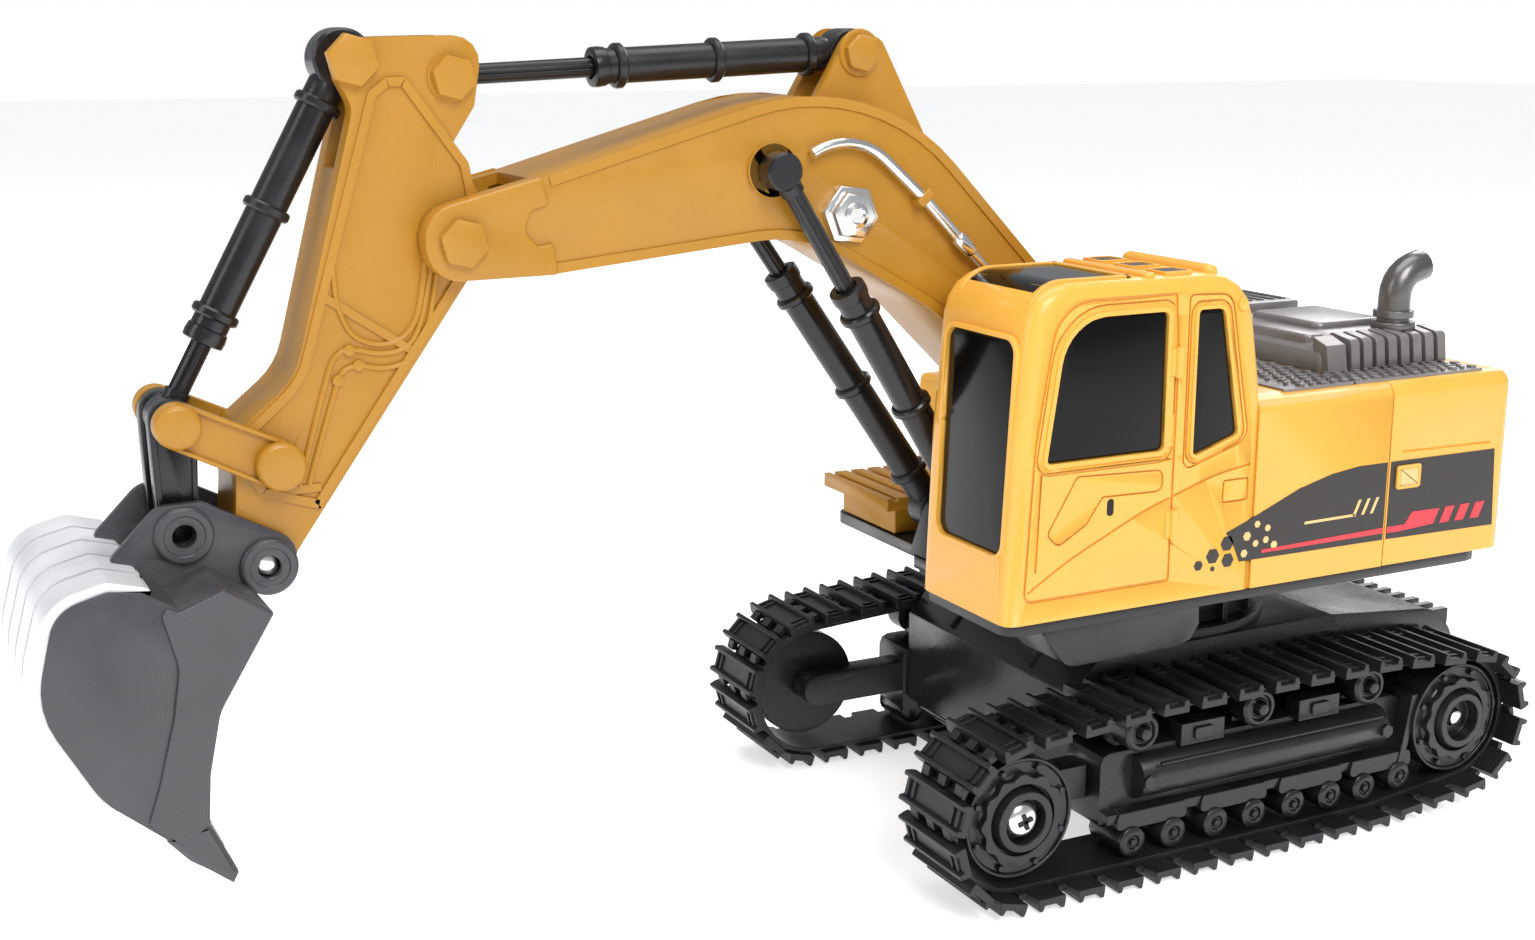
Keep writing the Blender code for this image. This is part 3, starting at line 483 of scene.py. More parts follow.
def belt_route(samples):
    """Closed outer line of a belt, at equal steps: the hull of everything that it runs round."""
    wheels = [(IDLER, 16.4), (SPROCKET, 15.3)] + [(centre, 7.5) for centre in CARRIERS]
    wheels += [(centre, 6.6) for centre in FOOT_ROLLERS[:-1]]
    line = hull([p for centre, reach in wheels for p in circle(centre, reach, 96)])
    closed = [Vector(p) for p in line + line[:1]]
    lengths = [0.0]
    for a, b in zip(closed, closed[1:]):
        lengths.append(lengths[-1] + (b - a).length)
    points, k = [], 0
    for i in range(samples):
        target = lengths[-1] * i / samples
        while lengths[k + 1] < target:
            k += 1
        share = (target - lengths[k]) / (lengths[k + 1] - lengths[k])
        points.append(closed[k].lerp(closed[k + 1], share))
    return points, lengths[-1]


def track_belt(label, side):
    """Belt with a thin band inside and shoes outside. Each shoe has two lips, end pockets and link blocks."""
    fine = 40
    route, length = belt_route(SHOES * fine)
    step = 8               # the band has one corner for every so many points of the route
    pitch = length / SHOES
    across = TRACK_OUTER - TRACK_INNER
    band_out, band_in = [], []
    for i in range(0, len(route), step):
        along = (route[(i + step) % len(route)] - route[i - step]).normalized()
        inward = Vector((-along.y, along.x))
        band_out.append(tuple(route[i] + inward * 2.3))
        band_in.append(tuple(route[i] + inward * SHOE_DEPTH))
    low, high = span(side, TRACK_INNER + 1.2, TRACK_OUTER - 4.6)
    solids = [ring_prism(band_out, band_in, low, high)]
    lip = ((-2.9, 1.2), (-2.7, 0.0), (-1.9, 0.0), (-1.5, 1.2))
    for number in range(SHOES):
        middle = round((number + 0.5) * fine) % len(route)
        here = route[middle]
        along = (route[(middle + 10) % len(route)] - route[middle - 10]).normalized()
        inward = Vector((-along.y, along.x))

        def place(points):
            return [tuple(here + along * s + inward * n) for s, n in points]

        def bar(points, start, end):
            solids.append(prism(place(points), *span(side, TRACK_INNER + start, TRACK_INNER + end)))

        bar(((-2.9, 1.0), (2.9, 1.0), (2.9, 2.4), (-2.9, 2.4)), 0, across)
        bar(lip, 0, across)
        bar([(-s, n) for s, n in lip], 0, across)
        for start in (1.1, 3.0, across - 3.6, across - 1.7):
            bar(((-1.6, 0.55), (1.6, 0.55), (1.6, 1.3), (-1.6, 1.3)), start, start + 0.6)
        gap = pitch / 2
        for start in (3.0, across / 2 - 1.2, across - 5.4):
            bar(((gap - 1.0, 1.3), (gap + 1.0, 1.3), (gap + 1.0, 2.6), (gap - 1.0, 2.6)), start, start + 2.4)
    add("belt_" + label, solids, "root", TRACK_BLACK, 0.15, ["track_belt_" + label], segments=1)


def wheel(kind, centre, node, side, label):
    """Track wheel with a scalloped plate, a ring of bolts, a raised hub and a counterbore."""
    scallops, fine = 12, 8
    wavy = [8.3 + 0.4 * math.cos(2 * math.pi * k / fine) for k in range(scallops * fine)]
    disc = [(1.8, 36.2), (WHEEL_R, 36.2), (WHEEL_R, 44.2), (10.6, 44.2), (10.4, 43.6), (8.4, 43.6),
            (8.0, 44.0), (6.2, 44.0), (6.0, 45.0), (5.6, 46.3), (4.2, 46.3), (4.1, 43.6), (1.8, 43.6)]
    solids = [turned_out(disc, centre, side),
              ring_prism(circle(centre, wavy), circle(centre, 6.6, len(wavy)), *span(side, 43.4, 45.3))]
    solids += [prism(hexagon(spot, 0.7, 30), *span(side, 43.5, 44.5))
               for spot in circle(centre, 9.6, 8, math.pi / 8)]
    add(f"{kind}_wheel_{label}", solids, f"{kind}_{label}", FRAME_BLACK, 0.2, [node + label])


def undercarriage():
    tyre = [(1.5, 37.7), (3.8, 37.7), (3.8, 42.4), (3.2, 43.0), (2.6, 43.0), (2.4, 42.2), (1.9, 42.2),
            (1.5, 42.6)]
    for side, label in SIDES:
        track_belt(label, side)
        wheel("sprocket", SPROCKET, "drive_sprocket_", side, label)
        wheel("idler", IDLER, "front_idler_", side, label)
        dress(FRAME_BLACK, "track_frame_" + label, edge=0.3)
        for number, centre in enumerate(CARRIERS, 1):
            add(f"carrier_{label}_{number}_tyre", turned_out(tyre, centre, side), f"carrier_{label}_{number}",
                FRAME_BLACK, 0.2, [f"carrier_roller_{label}_{number}"])
        frame_details(label, side)
        screw(label, side)
    dress(STEEL, "drive_axle_left", "drive_axle_right", edge=0.1)
    dress(STEEL, "drive_motor_left", "drive_motor_right", edge=0.2)
    chassis()


def screw(label, side):
    """Domed cross-head screw in the idler's counterbore."""
    dome = [(0, 42.9), (1.1, 42.9), (1.1, 44.0), (3.4, 44.0), (3.5, 44.4), (3.1, 45.2), (2.2, 45.8),
            (0, 46.0)]
    body = "idler_" + label
    add("screw_" + label, turned_out(dome, IDLER, side), body, STEEL, 0.08, ["idler_screw_" + label])
    place = Matrix.Translation((IDLER[0], 0, IDLER[1]))
    # The cross in the screw head is dark blocks proud of the dome: painted shade for its recess.
    arms = [moved(block((-1.5, side * 45.6 - 0.7, -0.35), (1.5, side * 45.6 + 0.7, 0.35)),
                  place @ Matrix.Rotation(turn, 4, 'Y')) for turn in (0.3, 0.3 + math.pi / 2)]
    add("screw_recess_shade_" + label, arms, body, PAINTED_SHADE, 0.0)


def frame_details(label, side):
    """Roller caps and plates, upper blocks, the guard behind the sprocket and bolts on the side frame."""
    cap = [(0, 43.5), (1.2, 43.5), (1.4, 44.0), (2.2, 44.0), (2.9, 43.6), (2.9, 42.8)]
    solids = []
    for centre in FOOT_ROLLERS:
        solids.append(turned_out(cap, centre, side, 24))
        solids.append(turned_out([(0, 43.4), (0.8, 43.4), (0.7, 44.2), (0, 44.3)], centre, side, 16))
    for (first, _), (second, _) in zip(FOOT_ROLLERS[::2], FOOT_ROLLERS[1::2]):
        plate = corner_outline(((first + 3.6, 9.0, 1), (first + 3.0, 12.4, 0.8), (second - 3.0, 12.4, 0.8),
                                (second - 3.6, 9.0, 1)), 3)
        solids.append(prism(plate, *span(side, 40.5, 43.2)))
    for x in (11.8, -16.7):
        low, high = span(side, 38, 41.6)
        solids.append(block((x - 5.1, low, 22.4), (x + 5.1, high, 26.8)))
        solids.append(prism(rectangle(x - 2.2, 23.4, x + 2.2, 25.8, 0.5), *span(side, 41.4, 42.2)))
    for centre in CARRIERS:
        solids.append(turned_out([(0, 43.2), (1.3, 43.2), (1.1, 44.0), (0, 44.2)], centre, side, 20))
    guard = [(-38.6 - 1.6 * math.sin(math.radians(a)), 17.6 + 8.5 * math.sin(math.radians(a) - 0.2))
             for a in range(-50, 70, 10)]
    strip = [(x + 0.8, z) for x, z in guard] + [(x - 0.8, z) for x, z in reversed(guard)]
    solids.append(prism(strip, *span(side, 36, 43.5)))
    solids += [prism(hexagon((x, 18.0), 1.5, 30), *span(side, 43.9, 44.8)) for x in (-32, 26)]
    add("frame_details_" + label, solids, "root", FRAME_BLACK, 0.2)
    edge = [(x, side * 44.9, 21.6) for x in (-30, 24)]
    add("frame_line_" + label, tube(edge, 0.35, 8), "root", FRAME_BLACK, 0.0)


def chassis():
    """Centre housing with its toothed rear edge, and the ribs round the slew ring."""
    dress(FRAME_BLACK, "chassis_housing", "belly_plate", edge=0.5)
    dress(BLACK, "slew_ring", edge=0.2)
    teeth = [block((-65.0, y - 0.9, 30.2), (-60.5, y + 0.9, 33.8)) for y in range(-26, 27, 4)]
    add("chassis_teeth", teeth, "root", FRAME_BLACK, 0.2)
    ribs = [moved(block((25.6, -0.8, 39.9), (27.4, 0.8, 49.0)), Matrix.Rotation(2 * math.pi * k / 18, 4, 'Z'))
            for k in range(18)]
    add("slew_ring_ribs", ribs, "root", BLACK, 0.2)
    lines = [tube([(26.5, y, 38.0), (32.4, y, 32.0)], 0.5, 8) for y in (-14, 14)]
    add("chassis_lines", lines, "root", FRAME_BLACK, 0.0)


# ---------------------------------------------------------------- upper works

def windows():
    """Outlines of the cab's window openings."""
    door = corner_outline(((51.6, 80.4, 0.8), (48.0, 105.0, 9), (27.0, 105.0, 1), (26.8, 80.4, 1)), 8)
    quarter = corner_outline(((20.3, 78.6, 0.8), (20.4, 104.8, 0.8), (14.7, 104.8, 1.5), (10.2, 81.8, 1)), 4)
    front = corner_outline(((20.6, 64.0, 2.5), (41.2, 64.0, 2.5), (41.6, 101.5, 2.5), (20.4, 101.5, 2.5)), 5)
    rear = corner_outline(((22, 90, 2), (39, 90, 2), (39, 104, 3), (22, 104, 3)), 4)
    return door, quarter, front, rear


def side_grooves(side):
    """Door seam, window steps, belt line, crease and handle, as lines cut into one side of the cab."""
    door, quarter, _, _ = windows()
    face = HALF_WIDTH if side > 0 else CAB_RIGHT
    leaf = corner_outline(((55.4, 56.4, 1.5), (53.9, 84, 40), (50.0, 107.9, 8), (25.4, 107.9, 0.6),
                           (24.4, 97, 20), (24.4, 56.4, 0.5)), 6)
    around = corner_outline(((22.2, 76.2, 1.5), (22.4, 107.6, 1), (13.0, 107.2, 3), (7.6, 80.6, 3)), 5)
    grip = corner_outline(((48.6, 65.6, 1.5), (51.0, 67.8, 1.2), (45.0, 77.6, 1.2), (26.6, 76.9, 1.4),
                           (26.6, 73.1, 1.4), (39.5, 73.4, 0.8), (42.8, 68.8, 1.5)), 4)
    cover = rectangle(7.2, 69.4, 12.8, 73.4, 0.4)
    rings = [(leaf, 0.55), (inset(door, -2.0), 0.35), (inset(quarter, -1.5), 0.35), (around, 0.35),
             (grip, 0.35), (cover, 0.35)]
    depth = sorted((face - side * 0.45, face + side))
    solids = [ring_prism(inset(line, -width / 2), inset(line, width / 2), *depth) for line, width in rings]
    crease = curve([(54.6, 58.0), (47, 62.4), (39.7, 65.8), (31, 69.6), (25.0, 71.6), (15, 74.6),
                    (6.9, 75.9)])
    strips = [(crease, 0.45), ([(53.2, 61.5), (52.6, 79.0)], 0.6), ([(52.9, 78.7), (24.6, 78.7)], 0.4)]
    depth = sorted((face - side * 0.4, face + side))
    solids += [prism(ribbon(line, width), *depth) for line, width in strips]
    if side > 0:
        solids.append(prism(rectangle(37.0, 69.8, 38.4, 72.9, 0.6, 3), face - 1.2, face + 1))
    return solids


def cab():
    """Yellow shell with its engraved doors, and dark panes set into the openings."""
    door, quarter, front, rear = windows()
    face = HALF_WIDTH
    carved("upper_shell", "upper", YELLOW, side_grooves(1) + side_grooves(-1), "cab_and_body")
    seam = [(SEAM_X - 3.4, 74.6), (-53.5, 74.2), (-53.5, 73.9), (SEAM_X - 3.4, 74.3)]
    carved("counterweight", "upper", YELLOW, [prism(seam, face - 0.3, face + 1)], "rear_weight", 0.3)
    dress(GLOSS, "cab_glazing", edge=0.0)
    frames = [rim(inset(opening, -width), width, face - 0.6, face + 0.3)
              for opening, width in ((door, 0.9), (quarter, 0.7))]
    add("window_frames", frames, "upper", YELLOW, 0.12)
    panes = [pillow(inset(opening, 0.1), face - 2.4, face - 0.25, 0.4) for opening in (door, quarter)]
    panes.append(pillow(inset(door, 0.1), CAB_RIGHT + 2.4, CAB_RIGHT + 0.25, 0.4))
    add("side_windows", panes, "upper", GLOSS, 0.0)
    sill = Vector((CAB_FRONT, 0, SHELL_Z))
    lean = Matrix.Translation(sill) @ Matrix.Rotation(math.radians(-2.4), 4, 'Y') @ Matrix.Translation(-sill)
    add("windscreen", moved(pillow(inset(front, 0.1), 54.6, 58.2, 0.5, 'X'), lean), "upper", GLOSS, 0.0)
    add("windscreen_frame", moved(rim(inset(front, -0.9), 0.9, 56.8, 59.0, 'X'), lean), "upper", YELLOW, 0.2)
    add("rear_window", pillow(inset(rear, 0.1), 8.5, 5.0, 0.5, 'X'), "upper", GLOSS, 0.0)
    hinges = []
    for x, z in ((24.4, 66.8), (24.8, 96.0)):
        leaf = rectangle(x - 1.3, z - 2.5, x + 1.3, z + 2.5, 0.4)
        hinges.append(pillow(leaf, face - 0.6, face + 0.5, 0.3))
        hinges.append(tube([(x - 0.3, face + 0.5, z - 2.7), (x - 0.3, face + 0.5, z + 2.7)], 0.75, 12))
    knob = [(0, face - 0.2), (1.1, face - 0.2), (1.0, face + 0.5), (0, face + 0.8)]
    hinges.append(turned(knob, (10.7, 105.2), steps=20))
    add("door_hinges", hinges, "upper", YELLOW, 0.0)
    # Dark patch filling the key slot almost to the face: painted shade inside the slot.
    well = rectangle(37.1, 69.9, 38.5, 72.8, 0.6, 3)
    add("key_slot_shade", prism(well, face - 0.6, face + 0.03), "upper", PAINTED_SHADE, 0.0)
    cab_roof()


def roof_curve(x):
    """Height of the roof above a point, with the rounded front edge."""
    radius = 8.0
    start = ROOF_FRONT - radius
    return ROOF_Z if x <= start else ROOF_Z - radius + math.sqrt(max(0.0, radius ** 2 - (x - start) ** 2))


def roof_sheet(width, x_low, x_high, over, under=1.5, steps=14):
    """Curved sheet that follows the roof between two x positions."""
    xs = [x_low + (x_high - x_low) * k / steps for k in range(steps + 1)]
    upper = [(x, roof_curve(x) + over) for x in xs]
    lower = [(x, roof_curve(x) - under) for x in reversed(xs)]
    return prism(upper + lower, *width)


def cab_roof():
    """Sunroof that bends over the front edge, a ridge behind it, three vents and a rear bar."""
    add("sunroof", roof_sheet((20.6, 40.8), 34.6, 53.4, 0.12), "upper", GLOSS, 0.3)
    border = [roof_sheet(edge, 33.4, 54.2, 0.5) for edge in ((19.4, 20.7), (40.7, 42.0))]
    border.append(block((33.2, 19.4, ROOF_Z - 1), (34.7, 42.0, ROOF_Z + 0.5)))
    add("sunroof_frame", border, "upper", YELLOW, 0.25)
    bars = [pillow(rectangle(28.6, 18.0, 31.0, 43.0, 1, 3), ROOF_Z - 0.5, ROOF_Z + 0.7, 0.5, 'Z'),
            pillow(rectangle(14.4, 17.6, 17.4, 42.6, 1.4, 4), ROOF_Z - 1.5, ROOF_Z + 1.3, 1.2, 'Z')]
    add("roof_bars", bars, "upper", YELLOW, 0.0)
    outlines = [rectangle(20.6, y, 25.8, y + 5.0, 0.5) for y in (18.4, 27.6, 36.8)]
    vents = [pillow(vent, ROOF_Z - 0.5, ROOF_Z + 0.45, 0.25, 'Z') for vent in outlines]
    add("roof_vents", vents, "upper", BLACK, 0.0)
    frames = [rim(inset(vent, -0.6), 0.6, ROOF_Z - 0.5, ROOF_Z + 0.6, 'Z') for vent in outlines]
    add("roof_vent_frames", frames, "upper", YELLOW, 0.12)


def decals():
    """Dark swoosh along the rear side, a red stripe and bars, cream slashes and a honeycomb fade."""
    for side, label in SIDES:

        def flat(name, shapes, proud, look):
            solids = [prism(shape, *span(side, HALF_WIDTH - 0.2, HALF_WIDTH + proud)) for shape in shapes]
            add(f"{name}_{label}", solids, "upper", look, 0.0)

        reach = 8.2 if side > 0 else -1.0
        front = [(x, z) for x, z in ((4.6, 66.1), (-5.3, 70.0), (-13.0, 71.9), (-19.5, 72.7)) if x <= reach]
        start = [(reach, 57.8)] + ([(reach + 1.5, 61.0), (reach + 3.4, 63.6)] if side > 0 else [])
        body = front + [(-26.7, 72.7), (-26.7, 57.6)] + start
        weight = [(-27.6, 72.7), (-54.6, 72.6), (-55.6, 57.2), (-27.6, 57.6)]
        flat("decal_swoosh", [body, weight], 0.10, DECAL)
        stripe = [(3.1, 59.4), (-26.7, 60.0), (-26.7, 58.9), (3.1, 58.8)]
        long_bar = [(-27.6, 60.0), (-32.1, 60.0), (-33.9, 62.3), (-41.0, 62.2), (-39.6, 59.3), (-31.0, 58.8),
                    (-27.6, 58.8)]
        bars = [[(x, 62.3), (x - 2.4, 62.3), (x - 1.0, 59.2), (x + 1.4, 59.2)]
                for x in (-42.6, -46.6, -50.6)]
        flat("decal_red", [stripe, long_bar] + bars, 0.16, RED)
        slashes = [[(x, 66.2), (x - 0.7, 66.2), (x + 0.7, 63.2), (x + 1.4, 63.2)]
                   for x in (-20.0, -22.2, -24.4)]
        line = [(-6.9, 63.5), (-19.0, 63.6), (-19.6, 63.1), (-6.9, 63.0)]
        flat("decal_cream", slashes + [line], 0.16, CREAM)
        if side > 0:
            honeycomb(flat)
        latch = corner_outline(((-29.0, 67.2, 0.6), (-29.0, 71.8, 0.6), (-35.0, 71.8, 0.6),
                                (-35.0, 67.2, 0.6)), 3)
        flat("latch_rim", [latch], 0.5, YELLOW)
        flat("latch_face", [inset(latch, 0.8)], 0.62, CREAM)


def honeycomb(flat):
    """Hexagonal dots in front of the swoosh, and a few pale ones inside it, as (x, z, radius)."""
    dark = [(11.2, 61.6, 1.5), (14.4, 59.6, 1.5), (10.9, 58.4, 1.4), (17.6, 58.2, 1.0), (14.3, 57.2, 0.5)]
    pale = [(4.4, 64.4, 0.7), (1.9, 63.4, 0.7), (6.7, 62.4, 0.9), (4.6, 60.8, 0.7), (2.2, 61.2, 0.7),
            (0.2, 60.0, 0.8), (7.2, 59.2, 0.8)]
    flat("decal_honeycomb", [hexagon((x, z), size, 0) for x, z, size in dark], 0.10, DECAL)
    flat("decal_dots", [hexagon((x, z), size, 0) for x, z, size in pale], 0.15, CREAM)


def hood():
    """Grey engine hood: louvres down the side, raised blocks, tread strips and the exhaust."""
    dress(HOOD, "engine_hood", edge=0.3)
    dress(PIPE, "exhaust_pipe", edge=0.3)
    louvre = corner_outline(((31.0, 88.3, 0), (34.2, 88.3, 0.8), (33.4, 94.4, 1.2), (27.5, 95.3, 0.6),
                             (27.5, 93.0, 0)), 3)
    end = [(31.0, 88.3), (33.9, 88.3), (32.9, 93.6), (29.0, 94.9), (29.0, 93.0)]
    fins = []
    for side in (1, -1):
        for k in range(8):
            x = -26.2 - 3.2 * k
            fins.append(prism([(side * y, z) for y, z in louvre], x - 2.2, x, 'X'))
        fins.append(prism([(side * y, z) for y, z in end], -25.4, -20.6, 'X'))
    add("hood_fins", fins, "upper", HOOD, 0.3)
    blocks = [pillow(rectangle(-48, -26, -26, -4, 2, 3), 93.8, 96.2, 0.8, 'Z'),
              pillow(rectangle(-48, 0, -30, 20, 2, 3), 93.8, 95.6, 0.8, 'Z'),
              pillow(rectangle(-27, 4, -22, 26, 1.5, 3), 92.4, 94.6, 0.6, 'Z')]
    add("hood_blocks", blocks, "upper", HOOD, 0.0)
    # Dark strips on top of the hood block: painted shade in its slots.
    slots = [block((-46 + 3 * k, -23, 96.0), (-44.6 + 3 * k, -7, 96.35)) for k in range(6)]
    add("hood_slot_shade", slots, "upper", PAINTED_SHADE, 0.0)
    tread("deck_tread", ((-19.6, -42.2), (-2.2, 42.2)), (-17.6, 40.8), (2.6, 2.45), 5, 24)
    tread("deck_tread_side", ((-52.0, 33.6), (-19.0, 42.2)), (-50.4, 40.9), (2.5, 2.1), 13, 4)
    collar = [(3.0, 97.0), (3.9, 97.0), (3.9, 98.4), (3.0, 98.4)]
    add("exhaust_collar", turned(collar, (-43, 27), 'Z', 32), "upper", PIPE, 0.15)


def tread(name, corners, first, pitch, columns, rows):
    """Deck plate between two corners, under rows of raised studs that lean left and right in turn."""
    (left, back), (right, front) = corners
    solids = [block((left, back, DECK_Z - 0.2), (right, front, DECK_Z + 0.4))]
    for column in range(columns):
        for row in range(rows):
            x = first[0] + pitch[0] * (column + (row % 2) / 2)
            y = first[1] - pitch[1] * row
            lean = 1 if (row + column) % 2 else -1
            stud = [(x + 0.7 * (u - v * lean), y + 0.7 * (u * lean + v))
                    for u, v in ((0.95, 0), (0, 0.5), (-0.95, 0), (0, -0.5))]
            solids.append(prism(stud, DECK_Z + 0.3, DECK_Z + 0.95, 'Z'))
    add(name, solids, "upper", HOOD, 0.1)


def upper_works():
    dress(BLACK, "upper_floor", "boom_bracket", "battery_cover", "power_switch", edge=0.3)
    dress(MUSTARD, "side_step", edge=0.3)
    dress(STEEL, "boom_foot_pin", "lift_foot_pin", "slew_motor", "slew_pinion", edge=0.1)
    dress(surface("cell_wrap", (0.05, 0.14, 0.40), 0.4), "battery_pack", edge=0.2)
    dress(surface("board", (0.03, 0.22, 0.09), 0.5), "circuit_board", edge=0.1)
    cab()
    decals()
    hood()


# ---------------------------------------------------------------- front end

def boom_outline():
    foot, tip = BOOM_FOOT, STICK_PIVOT
    return corner_outline([(foot[0] - 8.4, foot[1] + 5.5, 7.5), (66.9, 146.2, 41), (127.0, 129.4, 14),
                           (tip[0] + 6.6, tip[1] + 5.0, 5.6), (tip[0] + 5.4, tip[1] - 6.2, 5.6),
                           (127.0, 113.4, 20), (80.4, 117.8, 30), (54.0, 102.8, 25),
                           (foot[0] + 5.2, foot[1] - 9.0, 7.0)], 10)


def boom():
    """Boom with a raised border, a notched plate round the tip, and rings at its foot, bosses and ears."""
    dress(MUSTARD, "boom", "arm_ear_pin", "stick_pivot_pin", edge=0.35)
    outline, end = boom_outline(), STICK_PIVOT
    tip = corner_outline(((128.6, 129.3, 0.5), (127.4, 124.6, 0.6), (130.4, 123.9, 1.4), (131.8, 120.6, 2),
                          (129.5, 118.1, 1.4), (126.9, 118.5, 0.6), (126.0, 113.3, 0.5),
                          (end[0] + 5.4, end[1] - 6.2, 5.6), (end[0] + 6.6, end[1] + 5.0, 5.6)), 6)
    base = BOOM_HALF - 0.3
    foot = [(3.4, base), (6.0, base), (5.6, BOOM_HALF + 0.8), (3.4, BOOM_HALF + 0.8)]
    solids = []
    for side in (1, -1):
        solids.append(open_rim(outline, 1.7, *span(side, base, BOOM_HALF + 0.35),
                               lambda p: p[0] < end[0] - 12))
        solids.append(pillow(tip, side * base, side * (BOOM_HALF + 0.75), 0.45))
        solids.append(turned_out(foot, BOOM_FOOT, side))
    add("boom_rims", solids, "boom", MUSTARD, 0.25)
    boss = [(2.6, 11.0), (4.7, 11.0), (4.7, 11.9), (2.6, 11.9)]
    add("lift_bosses", [turned_out(boss, LIFT_EYE, side) for side in (1, -1)], "boom", MUSTARD, 0.15)
    washer = [(2.0, 5.7), (4.2, 5.7), (4.0, 6.3), (2.0, 6.3)]
    add("ear_washers", [turned_out(washer, ARM_EAR, side) for side in (1, -1)], "boom", MUSTARD, 0.1)
    boom_bolt()
    boom_pipe()


def boom_bolt():
    """Large bright hexagon nut with a stepped washer, a socket and a domed middle, on both sides."""
    dome = [(0, 13.4), (2.3, 13.4), (2.2, 14.1), (1.5, 14.3), (1.2, 13.7), (0, 13.7)]
    solids = [peg(BOOM_NUT, 1.6, -12, 12)]
    for side in (1, -1):
        solids.append(pillow(hexagon(BOOM_NUT, 5.6, 8), side * 10.9, side * 12.0, 0.3))
        solids.append(pillow(hexagon(BOOM_NUT, 4.4, 8), side * 11.9, side * 13.6, 0.5))
        solids.append(turned_out(dome, BOOM_NUT, side))
    add("boom_nut", solids, "boom", STEEL, 0.0, ["boom_bolt"])


def boom_pipe():
    """Bright pipe that follows the bend of the boom, with a joint sleeve and a clip."""
    y = BOOM_HALF + 1.6
    centre = (73.4, 120.6)
    arc = [(centre[0] + 12.6 * math.cos(math.radians(a)), y, centre[1] + 12.6 * math.sin(math.radians(a)))
           for a in range(60, 137, 6)]
    route = arc + [(57.0, y, 123.0), (49.0, y, 115.0), (30.0, y, 96.0)]
    add("bright_pipe", tube(route, 1.0, 16), "boom", STEEL, 0.0, ["boom_pipe"])
    along = Vector((-1, 0, -1)).normalized()
    start = Vector((50.0, y, 116.0))
    places = [start + along * reach for reach in (0, 0.4, 4.0, 4.4)]
    add("pipe_sleeve", tube(places, [1.2, 1.45, 1.45, 1.2], 16), "boom", STEEL, 0.0)
    clip = block((-0.9, BOOM_HALF - 0.2, -1.7), (0.9, y + 1.2, 1.7))
    turn = Matrix.Translation((57.2, 0, 123.2)) @ Matrix.Rotation(math.radians(-45), 4, 'Y')
    add("pipe_clip", moved(clip, turn), "boom", MUSTARD, 0.3)


def clipped(outline, limit):
    """Part of an outline below a height."""
    kept = []
    for i, here in enumerate(outline):
        after = outline[(i + 1) % len(outline)]
        first, second = limit - here[1], limit - after[1]
        if first >= 0:
            kept.append(here)
        if first * second < 0:
            kept.append(tuple(Vector(here).lerp(Vector(after), first / (first - second))))
    return kept


def stick():
    """Stick with a rimmed panel on each side, a diagonal rib, moulded pressure lines and hexagon heads."""
    far_ear = [block((150.4, -9.0, 142.0), (168, -5.4, 156))]
    carved("stick", "stick", MUSTARD, far_ear, "stick_body", 0.35)
    heads = [pillow(hexagon(CURL_EAR, 4.2), STICK_HALF - 0.2, STICK_HALF + 1.9, 0.35),
             pillow(hexagon(CURL_EAR, 3.2), -5.2, -6.6, 0.3), peg(CURL_EAR, 1.6, -6, 7)]
    add("curl_bolt", heads, "stick", MUSTARD, 0.0, ["curl_ear_pin"])
    panel = corner_outline(((155.2, 143.0, 1.5), (152.4, 145.1, 1), (149.2, 145.2, 1), (139.4, 131.6, 2),
                            (138.4, 125.8, 2), (138.4, 116.5, 1), (166.1, 77.6, 0.5), (175.4, 80.6, 1),
                            (178.6, 86.2, 3), (177.7, 90.9, 3), (168.6, 98.8, 12)), 6)
    clamp = corner_outline(((144.4, 116.4, 0.5), (148.0, 116.4, 0.5), (147.4, 119.6, 0.5),
                            (144.0, 119.6, 0.5)), 2)
    base = STICK_HALF - 0.3
    solids = []
    for side in (1, -1):
        border = panel if side > 0 else clipped(panel, 141.5)
        solids.append(rim(border, 1.4, *span(side, base, STICK_HALF + 0.55)))
        solids.append(bar_between((163.6, 111.4), (149.8, 101.9), side, STICK_HALF + 0.46))
        solids.append(bar_between((166.4, 81.1), (171.2, 81.0), side, STICK_HALF + 0.42))
        solids.append(prism(clamp, *span(side, base, STICK_HALF + 0.6)))
        solids.append(turned_out([(2.0, 6.8), (4.2, 6.8), (4.0, 7.3), (2.0, 7.3)], ARM_EYE, side))
    add("stick_rims", solids, "stick", MUSTARD, 0.2)
    pressure_lines()


def bar_between(first, second, side, top):
    """Straight raised bar between two points of the stick's side."""
    a, b = Vector(first), Vector(second)
    along = (b - a).normalized() * 0.65
    across = Vector((-along.y, along.x))
    corners = (a - along + across, b + along + across, b + along - across, a - along - across)
    return prism([tuple(p) for p in corners], *span(side, STICK_HALF - 0.3, top))


